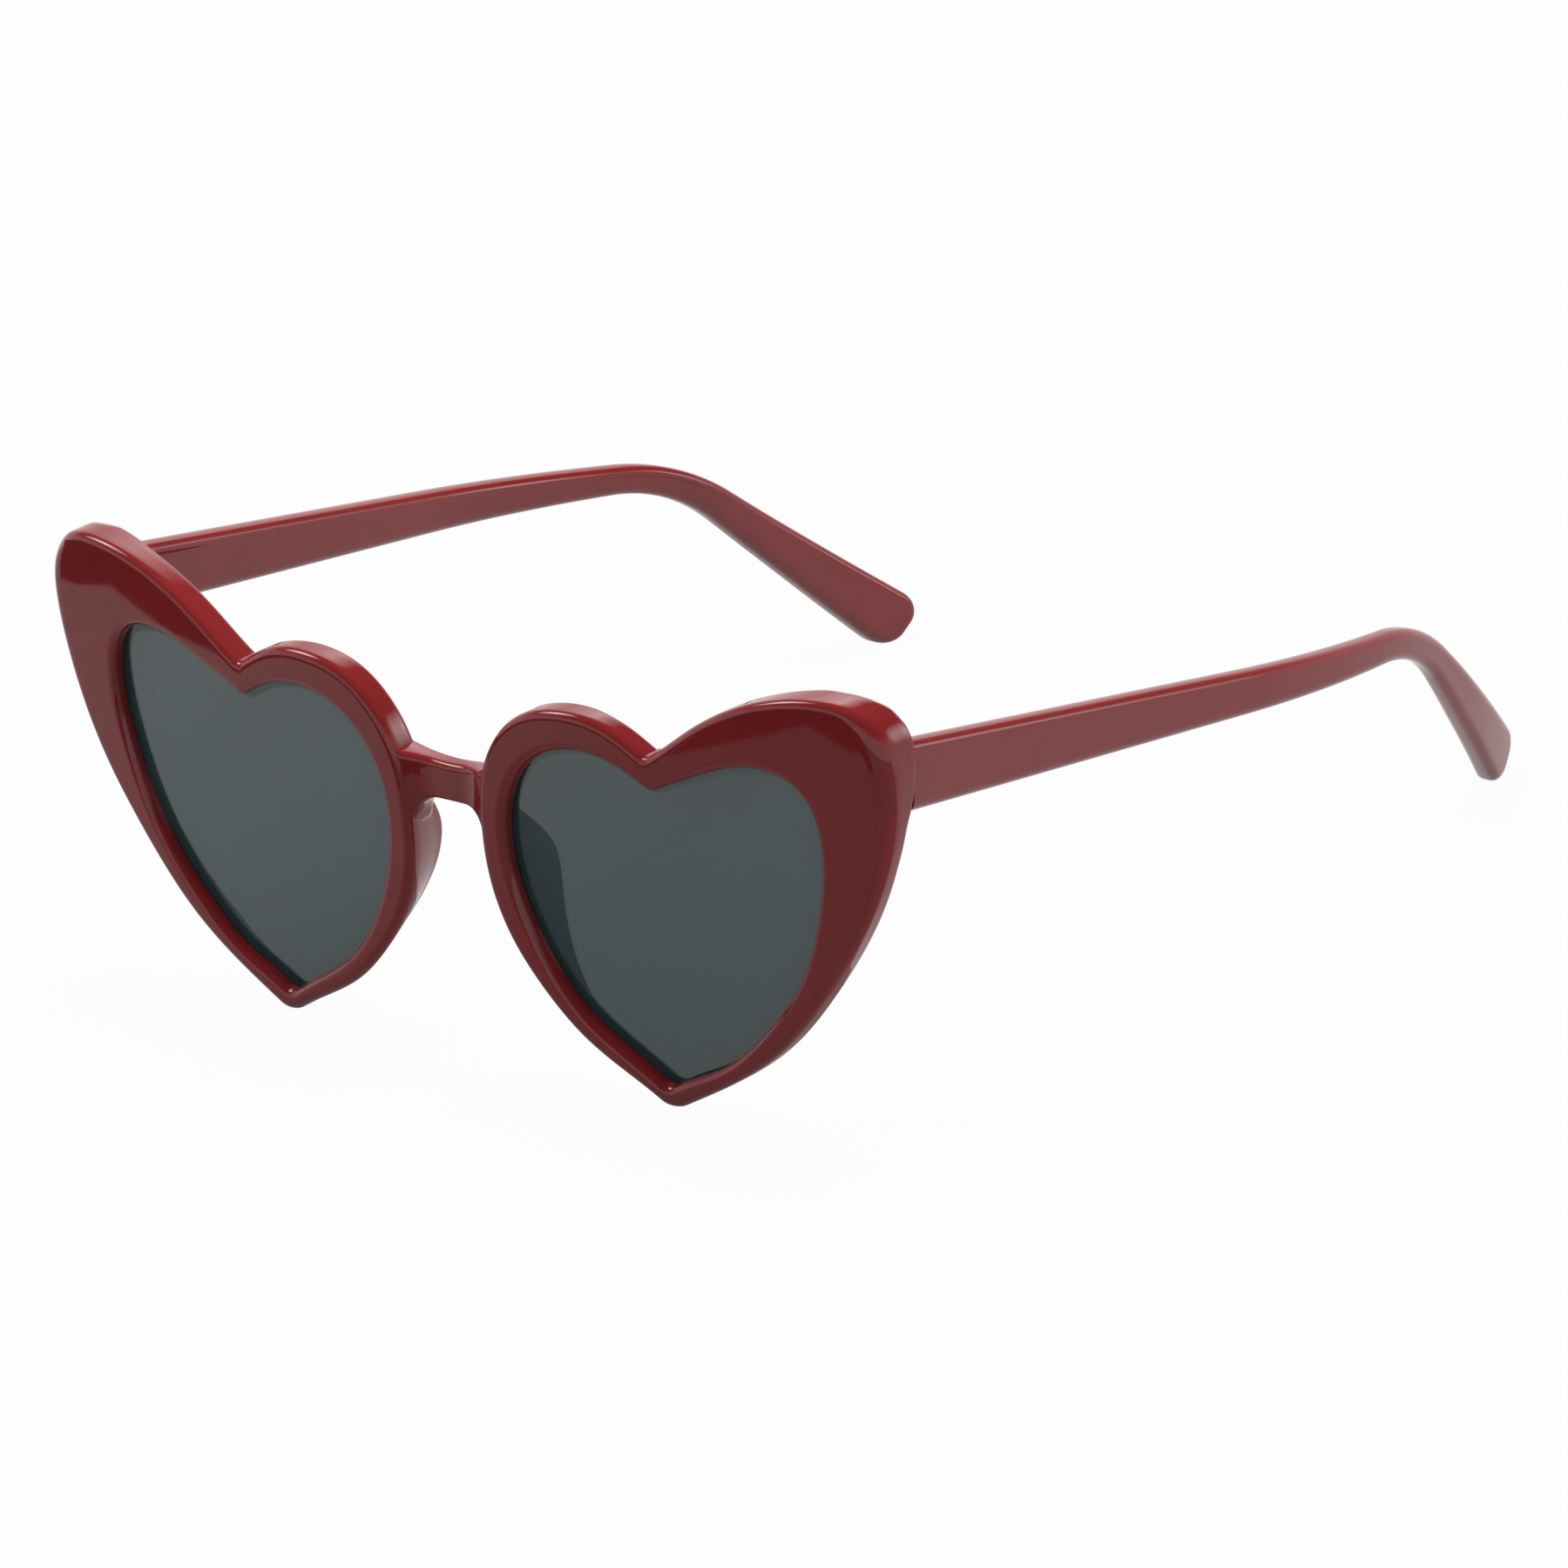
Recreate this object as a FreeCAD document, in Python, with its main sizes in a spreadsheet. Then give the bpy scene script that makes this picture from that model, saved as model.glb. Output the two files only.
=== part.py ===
"""Heart shaped sunglasses: a moulded front, two lenses, two folding temples and their hinges.

The front faces -Y, the temples run back along +Y, and +X is the wearer's left. The glasses stand
on the tips of the two hearts and of the two temples, all at z = 0.
"""
import FreeCAD, Part
import math
import os
import Sketcher
from FreeCAD import Placement, Rotation, Vector

# Driving sizes, in millimetres and degrees
SIZES = {
    # lens opening and the rim around it
    "lens_width": 52.6,
    "lens_height": 46.5,
    "rim_nasal": 3.7,
    "rim_temporal": 11.5,
    "rim_bottom": 2.8,
    "rim_top": 10.1,
    "rim_depth": 3.8,
    "base_curve_radius": 500.0,
    "outer_edge_round": 1.0,
    "outer_back_round": 1.2,
    "opening_edge_round": 0.4,
    "outer_notch_round": 0.9,
    "outer_tip_round": 4.0,
    "opening_notch_round": 0.9,
    "opening_tip_round": 2.4,
    # lens
    "lens_thickness": 1.5,
    "lens_setback": 1.9,
    "lens_bite": 0.7,
    "lens_clearance": 0.05,
    # bridge
    "bridge_gap": 12.8,
    "bridge_underside": 35.5,
    "bridge_height": 6.5,
    "bridge_dip": 2.0,
    "bridge_arch": 2.0,
    "bridge_recess": 1.5,
    "bridge_depth": 3.2,
    "bridge_overlap": 2.4,
    "bridge_edge_round": 1.1,
    # nose pads
    "pad_height": 24.5,
    "pad_length": 22.0,
    "pad_thickness": 3.6,
    "pad_reach": 8.6,
    "pad_root_inset": 2.4,
    "pad_flare": 1.6,
    "pad_lift": 0.5,
    "pad_tilt": 17.5,
    # end piece and temple
    "end_depth": 5.1,
    "end_taper": 12.0,
    "end_inset": 0.08,
    "end_web": 12.0,
    "temple_inset": 0.3,
    "temple_level": 49.05,
    "temple_thickness": 3.6,
    "temple_root_height": 9.1,
    "temple_bend_height": 3.7,
    "temple_tip_height": 7.8,
    "temple_run": 104.0,
    "temple_slope": 9.8,
    "temple_drop_angle": 46.6,
    "temple_bend_top_round": 31.0,
    "temple_bend_bottom_round": 24.0,
    "temple_tip_back_round": 3.1,
    "temple_tip_low_round": 3.1,
    "temple_curve_start": 61.5,
    "temple_curve_radius": 137.0,
    "temple_edge_round": 1.1,
    "joint_gap": 0.15,
    # hinge
    "hinge_inset": 1.7,
    "hinge_drop": 0.5,
    "knuckle_radius": 1.25,
    "knuckle_height": 1.8,
    "knuckle_gap": 0.1,
    "screw_radius": 0.65,
    "screw_clearance": 0.04,
    "screw_head_radius": 1.1,
    "screw_head_height": 0.6,
    "screw_slot_width": 0.35,
    "screw_slot_depth": 0.3,
    "front_leaf_standoff": 1.65,
    "front_leaf_thickness": 1.2,
    "front_leaf_length": 4.2,
    "hinge_boss_wall": 0.8,
    "hinge_boss_depth": 1.5,
    "temple_leaf_face": 0.6,
    "temple_leaf_sink": 0.5,
    "temple_leaf_start": 2.0,
    "temple_leaf_length": 7.0,
    "temple_leaf_lap": 0.6,
    "temple_leaf_margin": 0.1,
    # how far cutting tools run past what they cut
    "overrun": 2.0,
}

# Heart outlines, as shares of a heart's width (from the nose) and height (from the bottom tip).
# Each lobe is listed in the direction of travel: up the nasal side, then down the temporal side.
OUTER_HEART = {
    "tip_share": 0.409,
    "tip_rises": (31.0, 27.0),
    "notch_shares": (0.436, 0.806),
    "notch_rises": (32.0, 30.0),
    "nasal_shares": (
        (0.211, 0.114), (0.114, 0.213), (0.046, 0.318), (0.006, 0.445), (0.000, 0.568),
        (0.016, 0.687), (0.059, 0.777), (0.136, 0.847), (0.240, 0.873), (0.341, 0.860),
    ),
    "temporal_shares": (
        (0.541, 0.883), (0.650, 0.950), (0.754, 0.987), (0.852, 1.000), (0.932, 0.985),
        (0.985, 0.926), (1.000, 0.822), (0.979, 0.686), (0.914, 0.511), (0.802, 0.326), (0.663, 0.160),
    ),
}
OPENING_HEART = {
    "tip_share": 0.448,
    "tip_rises": (34.0, 29.0),
    "notch_shares": (0.496, 0.881),
    "notch_rises": (27.0, 25.0),
    "nasal_shares": (
        (0.217, 0.152), (0.088, 0.313), (0.020, 0.480), (0.000, 0.630), (0.022, 0.765),
        (0.078, 0.863), (0.165, 0.929), (0.285, 0.956), (0.395, 0.933),
    ),
    "temporal_shares": (
        (0.605, 0.932), (0.725, 0.982), (0.838, 1.000), (0.928, 0.974), (0.982, 0.908),
        (1.000, 0.805), (0.974, 0.612), (0.894, 0.393), (0.765, 0.216), (0.615, 0.083),
    ),
}
# Nose pad sections from its root in the rim to its rounded end, as shares of the pad's reach,
# length, thickness, and sideways and upward travel
PAD_SECTION_SHARES = (
    (0.00, 1.00, 1.00, 0.00),
    (0.45, 0.92, 0.86, 0.45),
    (0.85, 0.76, 0.62, 0.88),
    (1.00, 0.62, 0.34, 1.00),
)
# How near an edge lies to an outline to count as on it, as a share of the rim at the bottom
TOUCH_SHARE = 0.1
# Sums of sizes that several pieces share
FRONT_REACH = "Sizes.lens_width"
FRONT_WIDTH = "Sizes.bridge_gap + Sizes.rim_nasal + Sizes.lens_width + Sizes.rim_temporal"
FRONT_HEIGHT = "Sizes.rim_bottom + Sizes.lens_height + Sizes.rim_top"
KNUCKLE_COUNT = 3
HINGE_HEIGHT = f"{KNUCKLE_COUNT} * Sizes.knuckle_height"
TEMPLE_LEAF_HEIGHT = f"{HINGE_HEIGHT} - 2 * Sizes.temple_leaf_margin"
# How often the length of a temple's drop is corrected until its tip meets the ground
STAND_PASSES = 3
SPAN_X = Vector(1, 0, 0)
DEPTH_Y = Vector(0, 1, 0)
RISE_Z = Vector(0, 0, 1)

doc = FreeCAD.newDocument("heart_sunglasses")


def make_sheet():
    """Put the driving sizes in a spreadsheet, one named cell each."""
    sheet = doc.addObject("Spreadsheet::Sheet", "Sizes")
    for row, (name, value) in enumerate(SIZES.items(), start=1):
        sheet.set(f"A{row}", name)
        sheet.set(f"B{row}", str(value))
        sheet.setAlias(f"B{row}", name)
    doc.recompute()
    return sheet


sheet = make_sheet()


def size(name):
    """A driving size, read from its cell."""
    return float(sheet.get(name))


def heart_left():
    """The nasal edge of the wearer's left heart."""
    return size("bridge_gap") / 2


def heart_right():
    """The temporal edge of the wearer's left heart."""
    return heart_left() + size("rim_nasal") + size("lens_width") + size("rim_temporal")


def front_face(across):
    """Depth of the curved front face at a distance from the middle."""
    radius = size("base_curve_radius")
    return radius - math.sqrt(radius ** 2 - across ** 2)


def temple_outer():
    """The flat outer side of the wearer's left temple."""
    return heart_right() - size("temple_inset")


def temple_inner():
    return temple_outer() - size("temple_thickness")


def joint_depth():
    """The middle of the joint between the end piece and the temple."""
    return front_face(temple_outer()) + size("end_depth")


def joint_spot(up):
    """A place on the joint's plane, which stands square to the sloping temple."""
    slope = math.radians(size("temple_slope"))
    return Vector(0, joint_depth() + up * math.sin(slope), size("temple_level") + up * math.cos(slope))


def hinge_height():
    """All the knuckles of a hinge, one above the other."""
    return KNUCKLE_COUNT * size("knuckle_height")


def hinge_axis():
    """The middle of the hinge's bottom face, on the wearer's left."""
    across = temple_inner() - size("hinge_inset")
    bottom = size("temple_level") - size("hinge_drop") - hinge_height() / 2
    return Vector(across, joint_depth(), bottom)


# Outlines

def feature(name, shape):
    """A plain document object that holds a curve."""
    item = doc.addObject("Part::Feature", name)
    item.Shape = shape
    return item


def cup_arc(across, bottom, radius, left_rise, right_rise):
    """A round bottom with the directions in which its two sides rise."""
    centre = Vector(across, 0, bottom + radius)
    left, right = math.radians(left_rise), math.radians(right_rise)
    start = centre + Vector(-math.sin(left), 0, -math.cos(left)) * radius
    low = centre - RISE_Z * radius
    end = centre + Vector(math.sin(right), 0, -math.cos(right)) * radius
    go_left = Vector(-math.cos(left), 0, math.sin(left))
    go_right = Vector(math.cos(right), 0, math.sin(right))
    return Part.Arc(start, low, end).toShape(), start, end, go_left, go_right


def lobe(start, start_way, points, end, end_way):
    """One side of a heart: a smooth curve through its points, from the tip or notch to the other."""
    curve = Part.BSplineCurve()
    curve.interpolate(Points=[start, *points, end], InitialTangent=start_way, FinalTangent=end_way)
    return curve.toShape()


def heart_wire(shares, left, bottom, width, height, notch_round, tip_round):
    """A closed heart: a rounded bottom tip, two lobes and the notch between them."""
    def place(pair):
        return Vector(left + pair[0] * width, 0, bottom + pair[1] * height)

    tip = place((shares["tip_share"], 0))
    notch = place(shares["notch_shares"])
    tip_arc, tip_start, tip_end, tip_left, tip_right = cup_arc(tip.x, tip.z, tip_round, *shares["tip_rises"])
    notch_arc, notch_start, notch_end, notch_left, notch_right = cup_arc(
        notch.x, notch.z, notch_round, *shares["notch_rises"])
    nasal = [place(pair) for pair in shares["nasal_shares"]]
    temporal = [place(pair) for pair in shares["temporal_shares"]]
    nasal_lobe = lobe(tip_start, tip_left, nasal, notch_start, -notch_left)
    temporal_lobe = lobe(notch_end, notch_right, temporal, tip_end, -tip_right)
    return Part.Wire([tip_arc, nasal_lobe, notch_arc, temporal_lobe])


def outer_wire(inset):
    """The outside of a heart, or an outline smaller all round by a small margin."""
    width = heart_right() - heart_left() - 2 * inset
    height = size("rim_bottom") + size("lens_height") + size("rim_top") - 2 * inset
    return heart_wire(OUTER_HEART, heart_left() + inset, inset, width, height,
                      size("outer_notch_round"), size("outer_tip_round"))


def opening_wire(grow):
    """The lens opening, or an outline larger all round by a small margin."""
    return heart_wire(OPENING_HEART, heart_left() + size("rim_nasal") - grow, size("rim_bottom") - grow,
                      size("lens_width") + 2 * grow, size("lens_height") + 2 * grow,
                      size("opening_notch_round"), size("opening_tip_round") + grow)


def rounded_wire(points, rounds):
    """A closed outline of straight sides with each corner rounded by its own radius."""
    edges = []
    last = None
    first = None
    for index, corner in enumerate(points):
        before = points[index - 1] - corner
        after = points[(index + 1) % len(points)] - corner
        radius = rounds[index]
        before.normalize()
        after.normalize()
        half = before.getAngle(after) / 2
        start = corner + before * (radius / math.tan(half))
        end = corner + after * (radius / math.tan(half))
        if last is not None:
            edges.append(Part.LineSegment(last, start).toShape())
        first = first or start
        if radius:
            inward = (before + after).normalize()
            middle = corner + inward * (radius / math.sin(half) - radius)
            edges.append(Part.Arc(start, middle, end).toShape())
        last = end
    edges.append(Part.LineSegment(last, first).toShape())
    return Part.Wire(edges)


# Common solid builders

def extrusion(name, base, way, ahead, behind):
    """Sweep a face straight along one axis, by sizes that follow the sheet."""
    solid = doc.addObject("Part::Extrusion", name)
    solid.Base = base
    solid.DirMode = "Custom"
    solid.Dir = way
    solid.Solid = True
    solid.setExpression("LengthFwd", ahead)
    if behind:
        solid.setExpression("LengthRev", behind)
    return solid


def boolean(kind, name, base, tool):
    solid = doc.addObject(kind, name)
    solid.Base = base
    solid.Tool = tool
    return solid


def joined(name, first, *others):
    """Solids fused one after another into one."""
    for number, other in enumerate(others, start=1):
        first = boolean("Part::Fuse", f"{name}_{number}", first, other)
    return first


def box(name, corner, lengths):
    """A box whose corner and sides are expressions of the sheet, or measured places."""
    solid = doc.addObject("Part::Box", name)
    for prop, rule in zip(("Length", "Width", "Height"), lengths):
        solid.setExpression(prop, rule)
    solid.Placement.Base = corner
    return solid


def cylinder(name, radius, height, base):
    solid = doc.addObject("Part::Cylinder", name)
    solid.setExpression("Radius", radius)
    solid.setExpression("Height", height)
    solid.Placement.Base = base
    return solid


def mirrored(name, source):
    """The wearer's right hand copy of a piece on the left."""
    copy = doc.addObject("Part::Mirroring", name)
    copy.Source = source
    copy.Normal = SPAN_X
    return copy


def curved_slab(name, front, back):
    """A layer of the curved front between two depths behind its face."""
    tall = f"{FRONT_HEIGHT} + 2 * Sizes.overrun"
    centre = Vector(0, size("base_curve_radius"), -size("overrun"))
    outside = cylinder(f"{name}_outside", f"Sizes.base_curve_radius - ({front})", tall, centre)
    inside = cylinder(f"{name}_inside", f"Sizes.base_curve_radius - ({back})", tall, centre)
    return boolean("Part::Cut", name, outside, inside)


def rounded(name, base, rounds):
    """Round chosen edges of a solid: pairs of an edge number and its radius."""
    solid = doc.addObject("Part::Fillet", name)
    solid.Base = base
    solid.Edges = [(number, radius, radius) for number, radius in rounds]
    return solid


# Front

def on_wire(point, wire):
    """Whether a point of the front lies over an outline, seen from the front."""
    flat = Vector(point.x, 0, point.z)
    return wire.distToShape(Part.Vertex(flat))[0] < size("rim_bottom") * TOUCH_SHARE


def heart_rim():
    """One heart rim: the outline less the opening, cut from a curved sheet, with soft edges."""
    face = Part.makeFace([outer_wire(0), opening_wire(0)], "Part::FaceMakerBullseye")
    block = extrusion("rim_block", feature("rim_face", face), DEPTH_Y, FRONT_REACH, "Sizes.overrun")
    slab = curved_slab("rim_slab", "0", "Sizes.rim_depth")
    blank = boolean("Part::Common", "rim_blank", block, slab)
    doc.recompute()
    centre = Vector(0, size("base_curve_radius"), 0)
    front_limit = size("base_curve_radius") - size("rim_depth") / 2
    rounds = []
    for number, edge in enumerate(blank.Shape.Edges, start=1):
        ends = [vertex.Point for vertex in edge.Vertexes]
        depths = [Vector(end.x, end.y, 0).distanceToPoint(centre) for end in ends]
        outside = on_wire(ends[0], outer_wire(0))
        if min(depths) > front_limit:
            rounds.append((number, size("outer_edge_round") if outside else size("opening_edge_round")))
        elif max(depths) < front_limit and outside:
            rounds.append((number, size("outer_back_round")))
    return rounded("rim", blank, rounds)


def nose_pad():
    """A wing behind the nasal side of the rim, spreading away from the nose towards the face."""
    tilt = math.radians(size("pad_tilt"))
    long_way = Vector(math.sin(tilt), 0, -math.cos(tilt))
    thin_way = Vector(math.cos(tilt), 0, math.sin(tilt))
    turn = Rotation(long_way, thin_way, -DEPTH_Y, "XYZ")
    root = Vector(heart_left() + size("rim_nasal"), size("pad_root_inset"), size("pad_height"))
    reach = DEPTH_Y * (size("pad_reach") - size("pad_root_inset"))
    travel = SPAN_X * size("pad_flare") + RISE_Z * size("pad_lift")
    sections = []
    for depth_share, length_share, thickness_share, travel_share in PAD_SECTION_SHARES:
        section = doc.addObject("Part::Ellipse", "pad_section")
        section.setExpression("MajorRadius", f"Sizes.pad_length / 2 * {length_share}")
        section.setExpression("MinorRadius", f"Sizes.pad_thickness / 2 * {thickness_share}")
        section.Placement = Placement(root + reach * depth_share + travel * travel_share, turn)
        sections.append(section)
    pad = doc.addObject("Part::Loft", "pad")
    pad.Sections = sections
    pad.Solid = True
    return pad


def polygon_face(name, points):
    return feature(name, Part.Face(Part.makePolygon([*points, points[0]])))


def end_side(high, low):
    """The end piece from the side: it slopes down to the joint, and tapers into the rim below it."""
    start = temple_inner() - size("end_web")
    rim_middle = front_face(temple_inner()) + size("rim_depth") / 2
    rim_back = front_face(temple_outer()) + size("rim_depth")
    top = size("rim_bottom") + size("lens_height") + size("rim_top")
    side = [Vector(start, rim_middle, top), Vector(start, rim_back, top), Vector(start, high.y, high.z),
            Vector(start, low.y, low.z), Vector(start, rim_middle, low.z - size("end_taper"))]
    return extrusion("end_side", polygon_face("end_side_face", side), SPAN_X,
                     "Sizes.end_web + Sizes.rim_temporal", None)


def end_return():
    """The corner of the heart carried back to the joint, with a web above the temple's path."""
    half_root = size("temple_root_height") / 2
    high, low = joint_spot(half_root + size("joint_gap")), joint_spot(-half_root)
    space = box("end_space", SPAN_X * temple_inner(), ("Sizes.rim_temporal", FRONT_REACH, FRONT_HEIGHT))
    web_start = temple_inner() - size("end_web")
    web_root = front_face(web_start) + size("rim_depth") / 2
    plan = [Vector(web_start, web_root, high.z), Vector(temple_outer(), web_root, high.z),
            Vector(temple_outer(), high.y, high.z), Vector(temple_inner(), high.y, high.z)]
    spaces = doc.addObject("Part::MultiFuse", "end_spaces")
    spaces.Shapes = [space, extrusion("end_web", polygon_face("end_web_face", plan), RISE_Z, FRONT_HEIGHT, None)]
    end_face = feature("end_face", Part.Face(outer_wire(size("end_inset"))))
    outline = extrusion("end_outline", end_face, DEPTH_Y, FRONT_REACH, None)
    block = boolean("Part::Common", "end_block", outline, end_side(high, low))
    return boolean("Part::Common", "end_return", block, spaces)


def bridge():
    """The band between the hearts, set back from their faces, dipped on top and arched below."""
    half = heart_left() + size("bridge_overlap")
    top = size("bridge_underside") + size("bridge_height")
    depth = size("bridge_recess")
    low = size("bridge_underside") - size("bridge_arch")
    low_left, low_right = (Vector(side * half, depth, low) for side in (-1, 1))
    top_left, top_right = (Vector(side * half, depth, top) for side in (-1, 1))
    dip = Part.Arc(top_left, Vector(0, depth, top - size("bridge_dip")), top_right).toShape()
    arch = Part.Arc(low_right, Vector(0, depth, size("bridge_underside")), low_left).toShape()
    right = Part.LineSegment(top_right, low_right).toShape()
    left = Part.LineSegment(low_left, top_left).toShape()
    face = feature("bridge_face", Part.Face(Part.Wire([dip, right, arch, left])))
    band = extrusion("bridge_band", face, DEPTH_Y, "Sizes.bridge_depth", None)
    doc.recompute()
    long_edges = [number for number, edge in enumerate(band.Shape.Edges, start=1)
                  if edge.BoundBox.XLength > half]
    return rounded("bridge", band, [(number, size("bridge_edge_round")) for number in long_edges])


def lens_layer(name, grow, clearance):
    """The space of one lens: its outline cut from a layer of the curved front."""
    face = feature(f"{name}_face", Part.Face(opening_wire(grow)))
    block = extrusion(f"{name}_block", face, DEPTH_Y, FRONT_REACH, "Sizes.overrun")
    slab = curved_slab(f"{name}_slab", f"Sizes.lens_setback + {clearance}",
                       f"Sizes.lens_setback + Sizes.lens_thickness - {clearance}")
    return boolean("Part::Common", name, block, slab)


def hinge_boss():
    """The raised seat behind the rim that the front hinge leaf is sunk in."""
    corner = hinge_axis() - Vector(
        size("front_leaf_length") + size("hinge_boss_wall"),
        size("front_leaf_standoff") + size("front_leaf_thickness") + size("hinge_boss_depth"),
        size("hinge_boss_wall"),
    )
    return box("hinge_boss", corner, (
        "Sizes.front_leaf_length + Sizes.hinge_inset + 2 * Sizes.hinge_boss_wall",
        "Sizes.front_leaf_thickness + Sizes.hinge_boss_depth",
        f"{HINGE_HEIGHT} + 2 * Sizes.hinge_boss_wall",
    ))


def front_leaf_pocket():
    """The space of the front hinge leaf in its boss."""
    corner = hinge_axis() - Vector(size("front_leaf_length"),
                                   size("front_leaf_standoff") + size("front_leaf_thickness"), 0)
    return box("front_leaf_pocket", corner, (
        "Sizes.front_leaf_length + Sizes.knuckle_radius",
        "Sizes.front_leaf_thickness + Sizes.overrun",
        HINGE_HEIGHT,
    ))


def front_frame():
    """The moulded front: two hearts, the bridge, the nose pads and the two end pieces."""
    half = joined("half_front", heart_rim(), end_return(), nose_pad(), hinge_boss())
    whole = joined("whole_front", half, mirrored("other_half_front", half), bridge())
    groove = lens_layer("lens_groove", size("lens_bite"), "0")
    seats = doc.addObject("Part::MultiFuse", "front_seats")
    pocket = front_leaf_pocket()
    seats.Shapes = [groove, mirrored("other_lens_groove", groove), pocket, mirrored("other_pocket", pocket)]
    return boolean("Part::Cut", "front_frame", whole, seats)


def left_lens():
    """The wearer's left lens, with its edge in the groove of the rim."""
    return lens_layer("left_lens", size("lens_bite") - size("lens_clearance"), "Sizes.lens_clearance")


# Temples

def temple_side_points(drop):
    """Corners of a temple seen from the side, for a given length behind the bend."""
    slope = math.radians(size("temple_slope"))
    steep = math.radians(size("temple_drop_angle"))
    run_way = Vector(0, math.cos(slope), -math.sin(slope))
    drop_way = Vector(0, math.cos(steep), -math.sin(steep))
    run_up = Vector(0, math.sin(slope), math.cos(slope))
    drop_up = Vector(0, math.sin(steep), math.cos(steep))
    root = Vector(0, joint_depth() + size("joint_gap"), size("temple_level"))
    bend = root + run_way * size("temple_run")
    tip = bend + drop_way * drop
    root_half = run_up * (size("temple_root_height") / 2)
    bend_half = (run_up + drop_up).normalize() * (size("temple_bend_height") / 2)
    tip_half = drop_up * (size("temple_tip_height") / 2)
    return [root + root_half, bend + bend_half, tip + tip_half, tip - tip_half, bend - bend_half, root - root_half]


def temple_side_wire():
    """The side outline, with its drop as long as it takes for the tip to stand on the ground."""
    rounds = [0, size("temple_bend_top_round"), size("temple_tip_back_round"),
              size("temple_tip_low_round"), size("temple_bend_bottom_round"), 0]
    drop = size("temple_level") - size("temple_run") * math.sin(math.radians(size("temple_slope")))
    wire = rounded_wire(temple_side_points(drop), rounds)
    for _ in range(STAND_PASSES):
        drop += wire.optimalBoundingBox().ZMin / math.sin(math.radians(size("temple_drop_angle")))
        wire = rounded_wire(temple_side_points(drop), rounds)
    return wire


def temple_plan_wire(far_end):
    """The outline from above: straight from the hinge, then curved in towards the head."""
    start = joint_depth() - size("overrun")
    bend_start = joint_depth() + size("joint_gap") + size("temple_curve_start")
    middle = (temple_outer() + temple_inner()) / 2
    centre = Vector(middle - size("temple_curve_radius"), bend_start, 0)
    turn = math.asin((far_end - bend_start) / size("temple_curve_radius"))
    edges = []
    rims = []
    for across in (temple_outer(), temple_inner()):
        radius = across - centre.x
        root = Vector(across, start, 0)
        straight_end = Vector(across, bend_start, 0)
        half_way = centre + Vector(math.cos(turn / 2), math.sin(turn / 2), 0) * radius
        end = centre + Vector(math.cos(turn), math.sin(turn), 0) * radius
        edges.append(Part.LineSegment(root, straight_end).toShape())
        edges.append(Part.Arc(straight_end, half_way, end).toShape())
        rims.append((root, end))
    edges.append(Part.LineSegment(rims[0][0], rims[1][0]).toShape())
    edges.append(Part.LineSegment(rims[0][1], rims[1][1]).toShape())
    return Part.Wire(Part.__sortEdges__(edges))


def left_temple():
    """The wearer's left temple, with rounded long edges and a seat for its hinge leaf."""
    side = temple_side_wire()
    plan = temple_plan_wire(side.optimalBoundingBox().YMax + size("temple_thickness"))
    side_block = extrusion("temple_side_block", feature("temple_side", Part.Face(side)), SPAN_X,
                           FRONT_WIDTH, None)
    plan_block = extrusion("temple_plan_block", feature("temple_plan", Part.Face(plan)), RISE_Z,
                           "2 * Sizes.temple_level", "Sizes.overrun")
    blank = boolean("Part::Common", "temple_blank", side_block, plan_block)
    doc.recompute()
    root_end = joint_depth() + size("temple_root_height") / 2
    long_edges = [number for number, edge in enumerate(blank.Shape.Edges, start=1)
                  if edge.BoundBox.YLength > size("joint_gap") and edge.BoundBox.YMax > root_end]
    rounds = [(number, size("temple_edge_round")) for number in long_edges]
    smooth = rounded("temple_smooth", blank, rounds)
    corner = hinge_axis() + Vector(size("hinge_inset") - size("overrun"), size("temple_leaf_start"),
                                   size("temple_leaf_margin"))
    pocket = box("temple_leaf_pocket", corner, (
        "Sizes.overrun + Sizes.temple_leaf_sink", "Sizes.temple_leaf_length", TEMPLE_LEAF_HEIGHT))
    return boolean("Part::Cut", "left_temple", smooth, pocket)


# Hinges

def total(names):
    return sum(size(name) for name in names)


def rule(names):
    return " + ".join(f"Sizes.{name}" for name in names)


def origin_plane(body, role):
    return next(item for item in body.Origin.OriginFeatures if item.Role == role)


def new_sketch(body, name, lift):
    """A sketch on the body's ground plane, or lifted above it by an expression."""
    sketch = body.newObject("Sketcher::SketchObject", name)
    sketch.AttachmentSupport = [(origin_plane(body, "XY_Plane"), "")]
    sketch.MapMode = "FlatFace"
    if lift:
        sketch.setExpression("AttachmentOffset.Base.z", lift)
    return sketch


def circle(sketch, names):
    """A circle about the hinge axis."""
    index = sketch.addGeometry(Part.Circle(Vector(0, 0, 0), RISE_Z, total(names)))
    sketch.addConstraint(Sketcher.Constraint("Coincident", index, 3, -1, 1))
    number = sketch.addConstraint(Sketcher.Constraint("Radius", index, total(names)))
    sketch.setExpression(f"Constraints[{number}]", rule(names))


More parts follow.
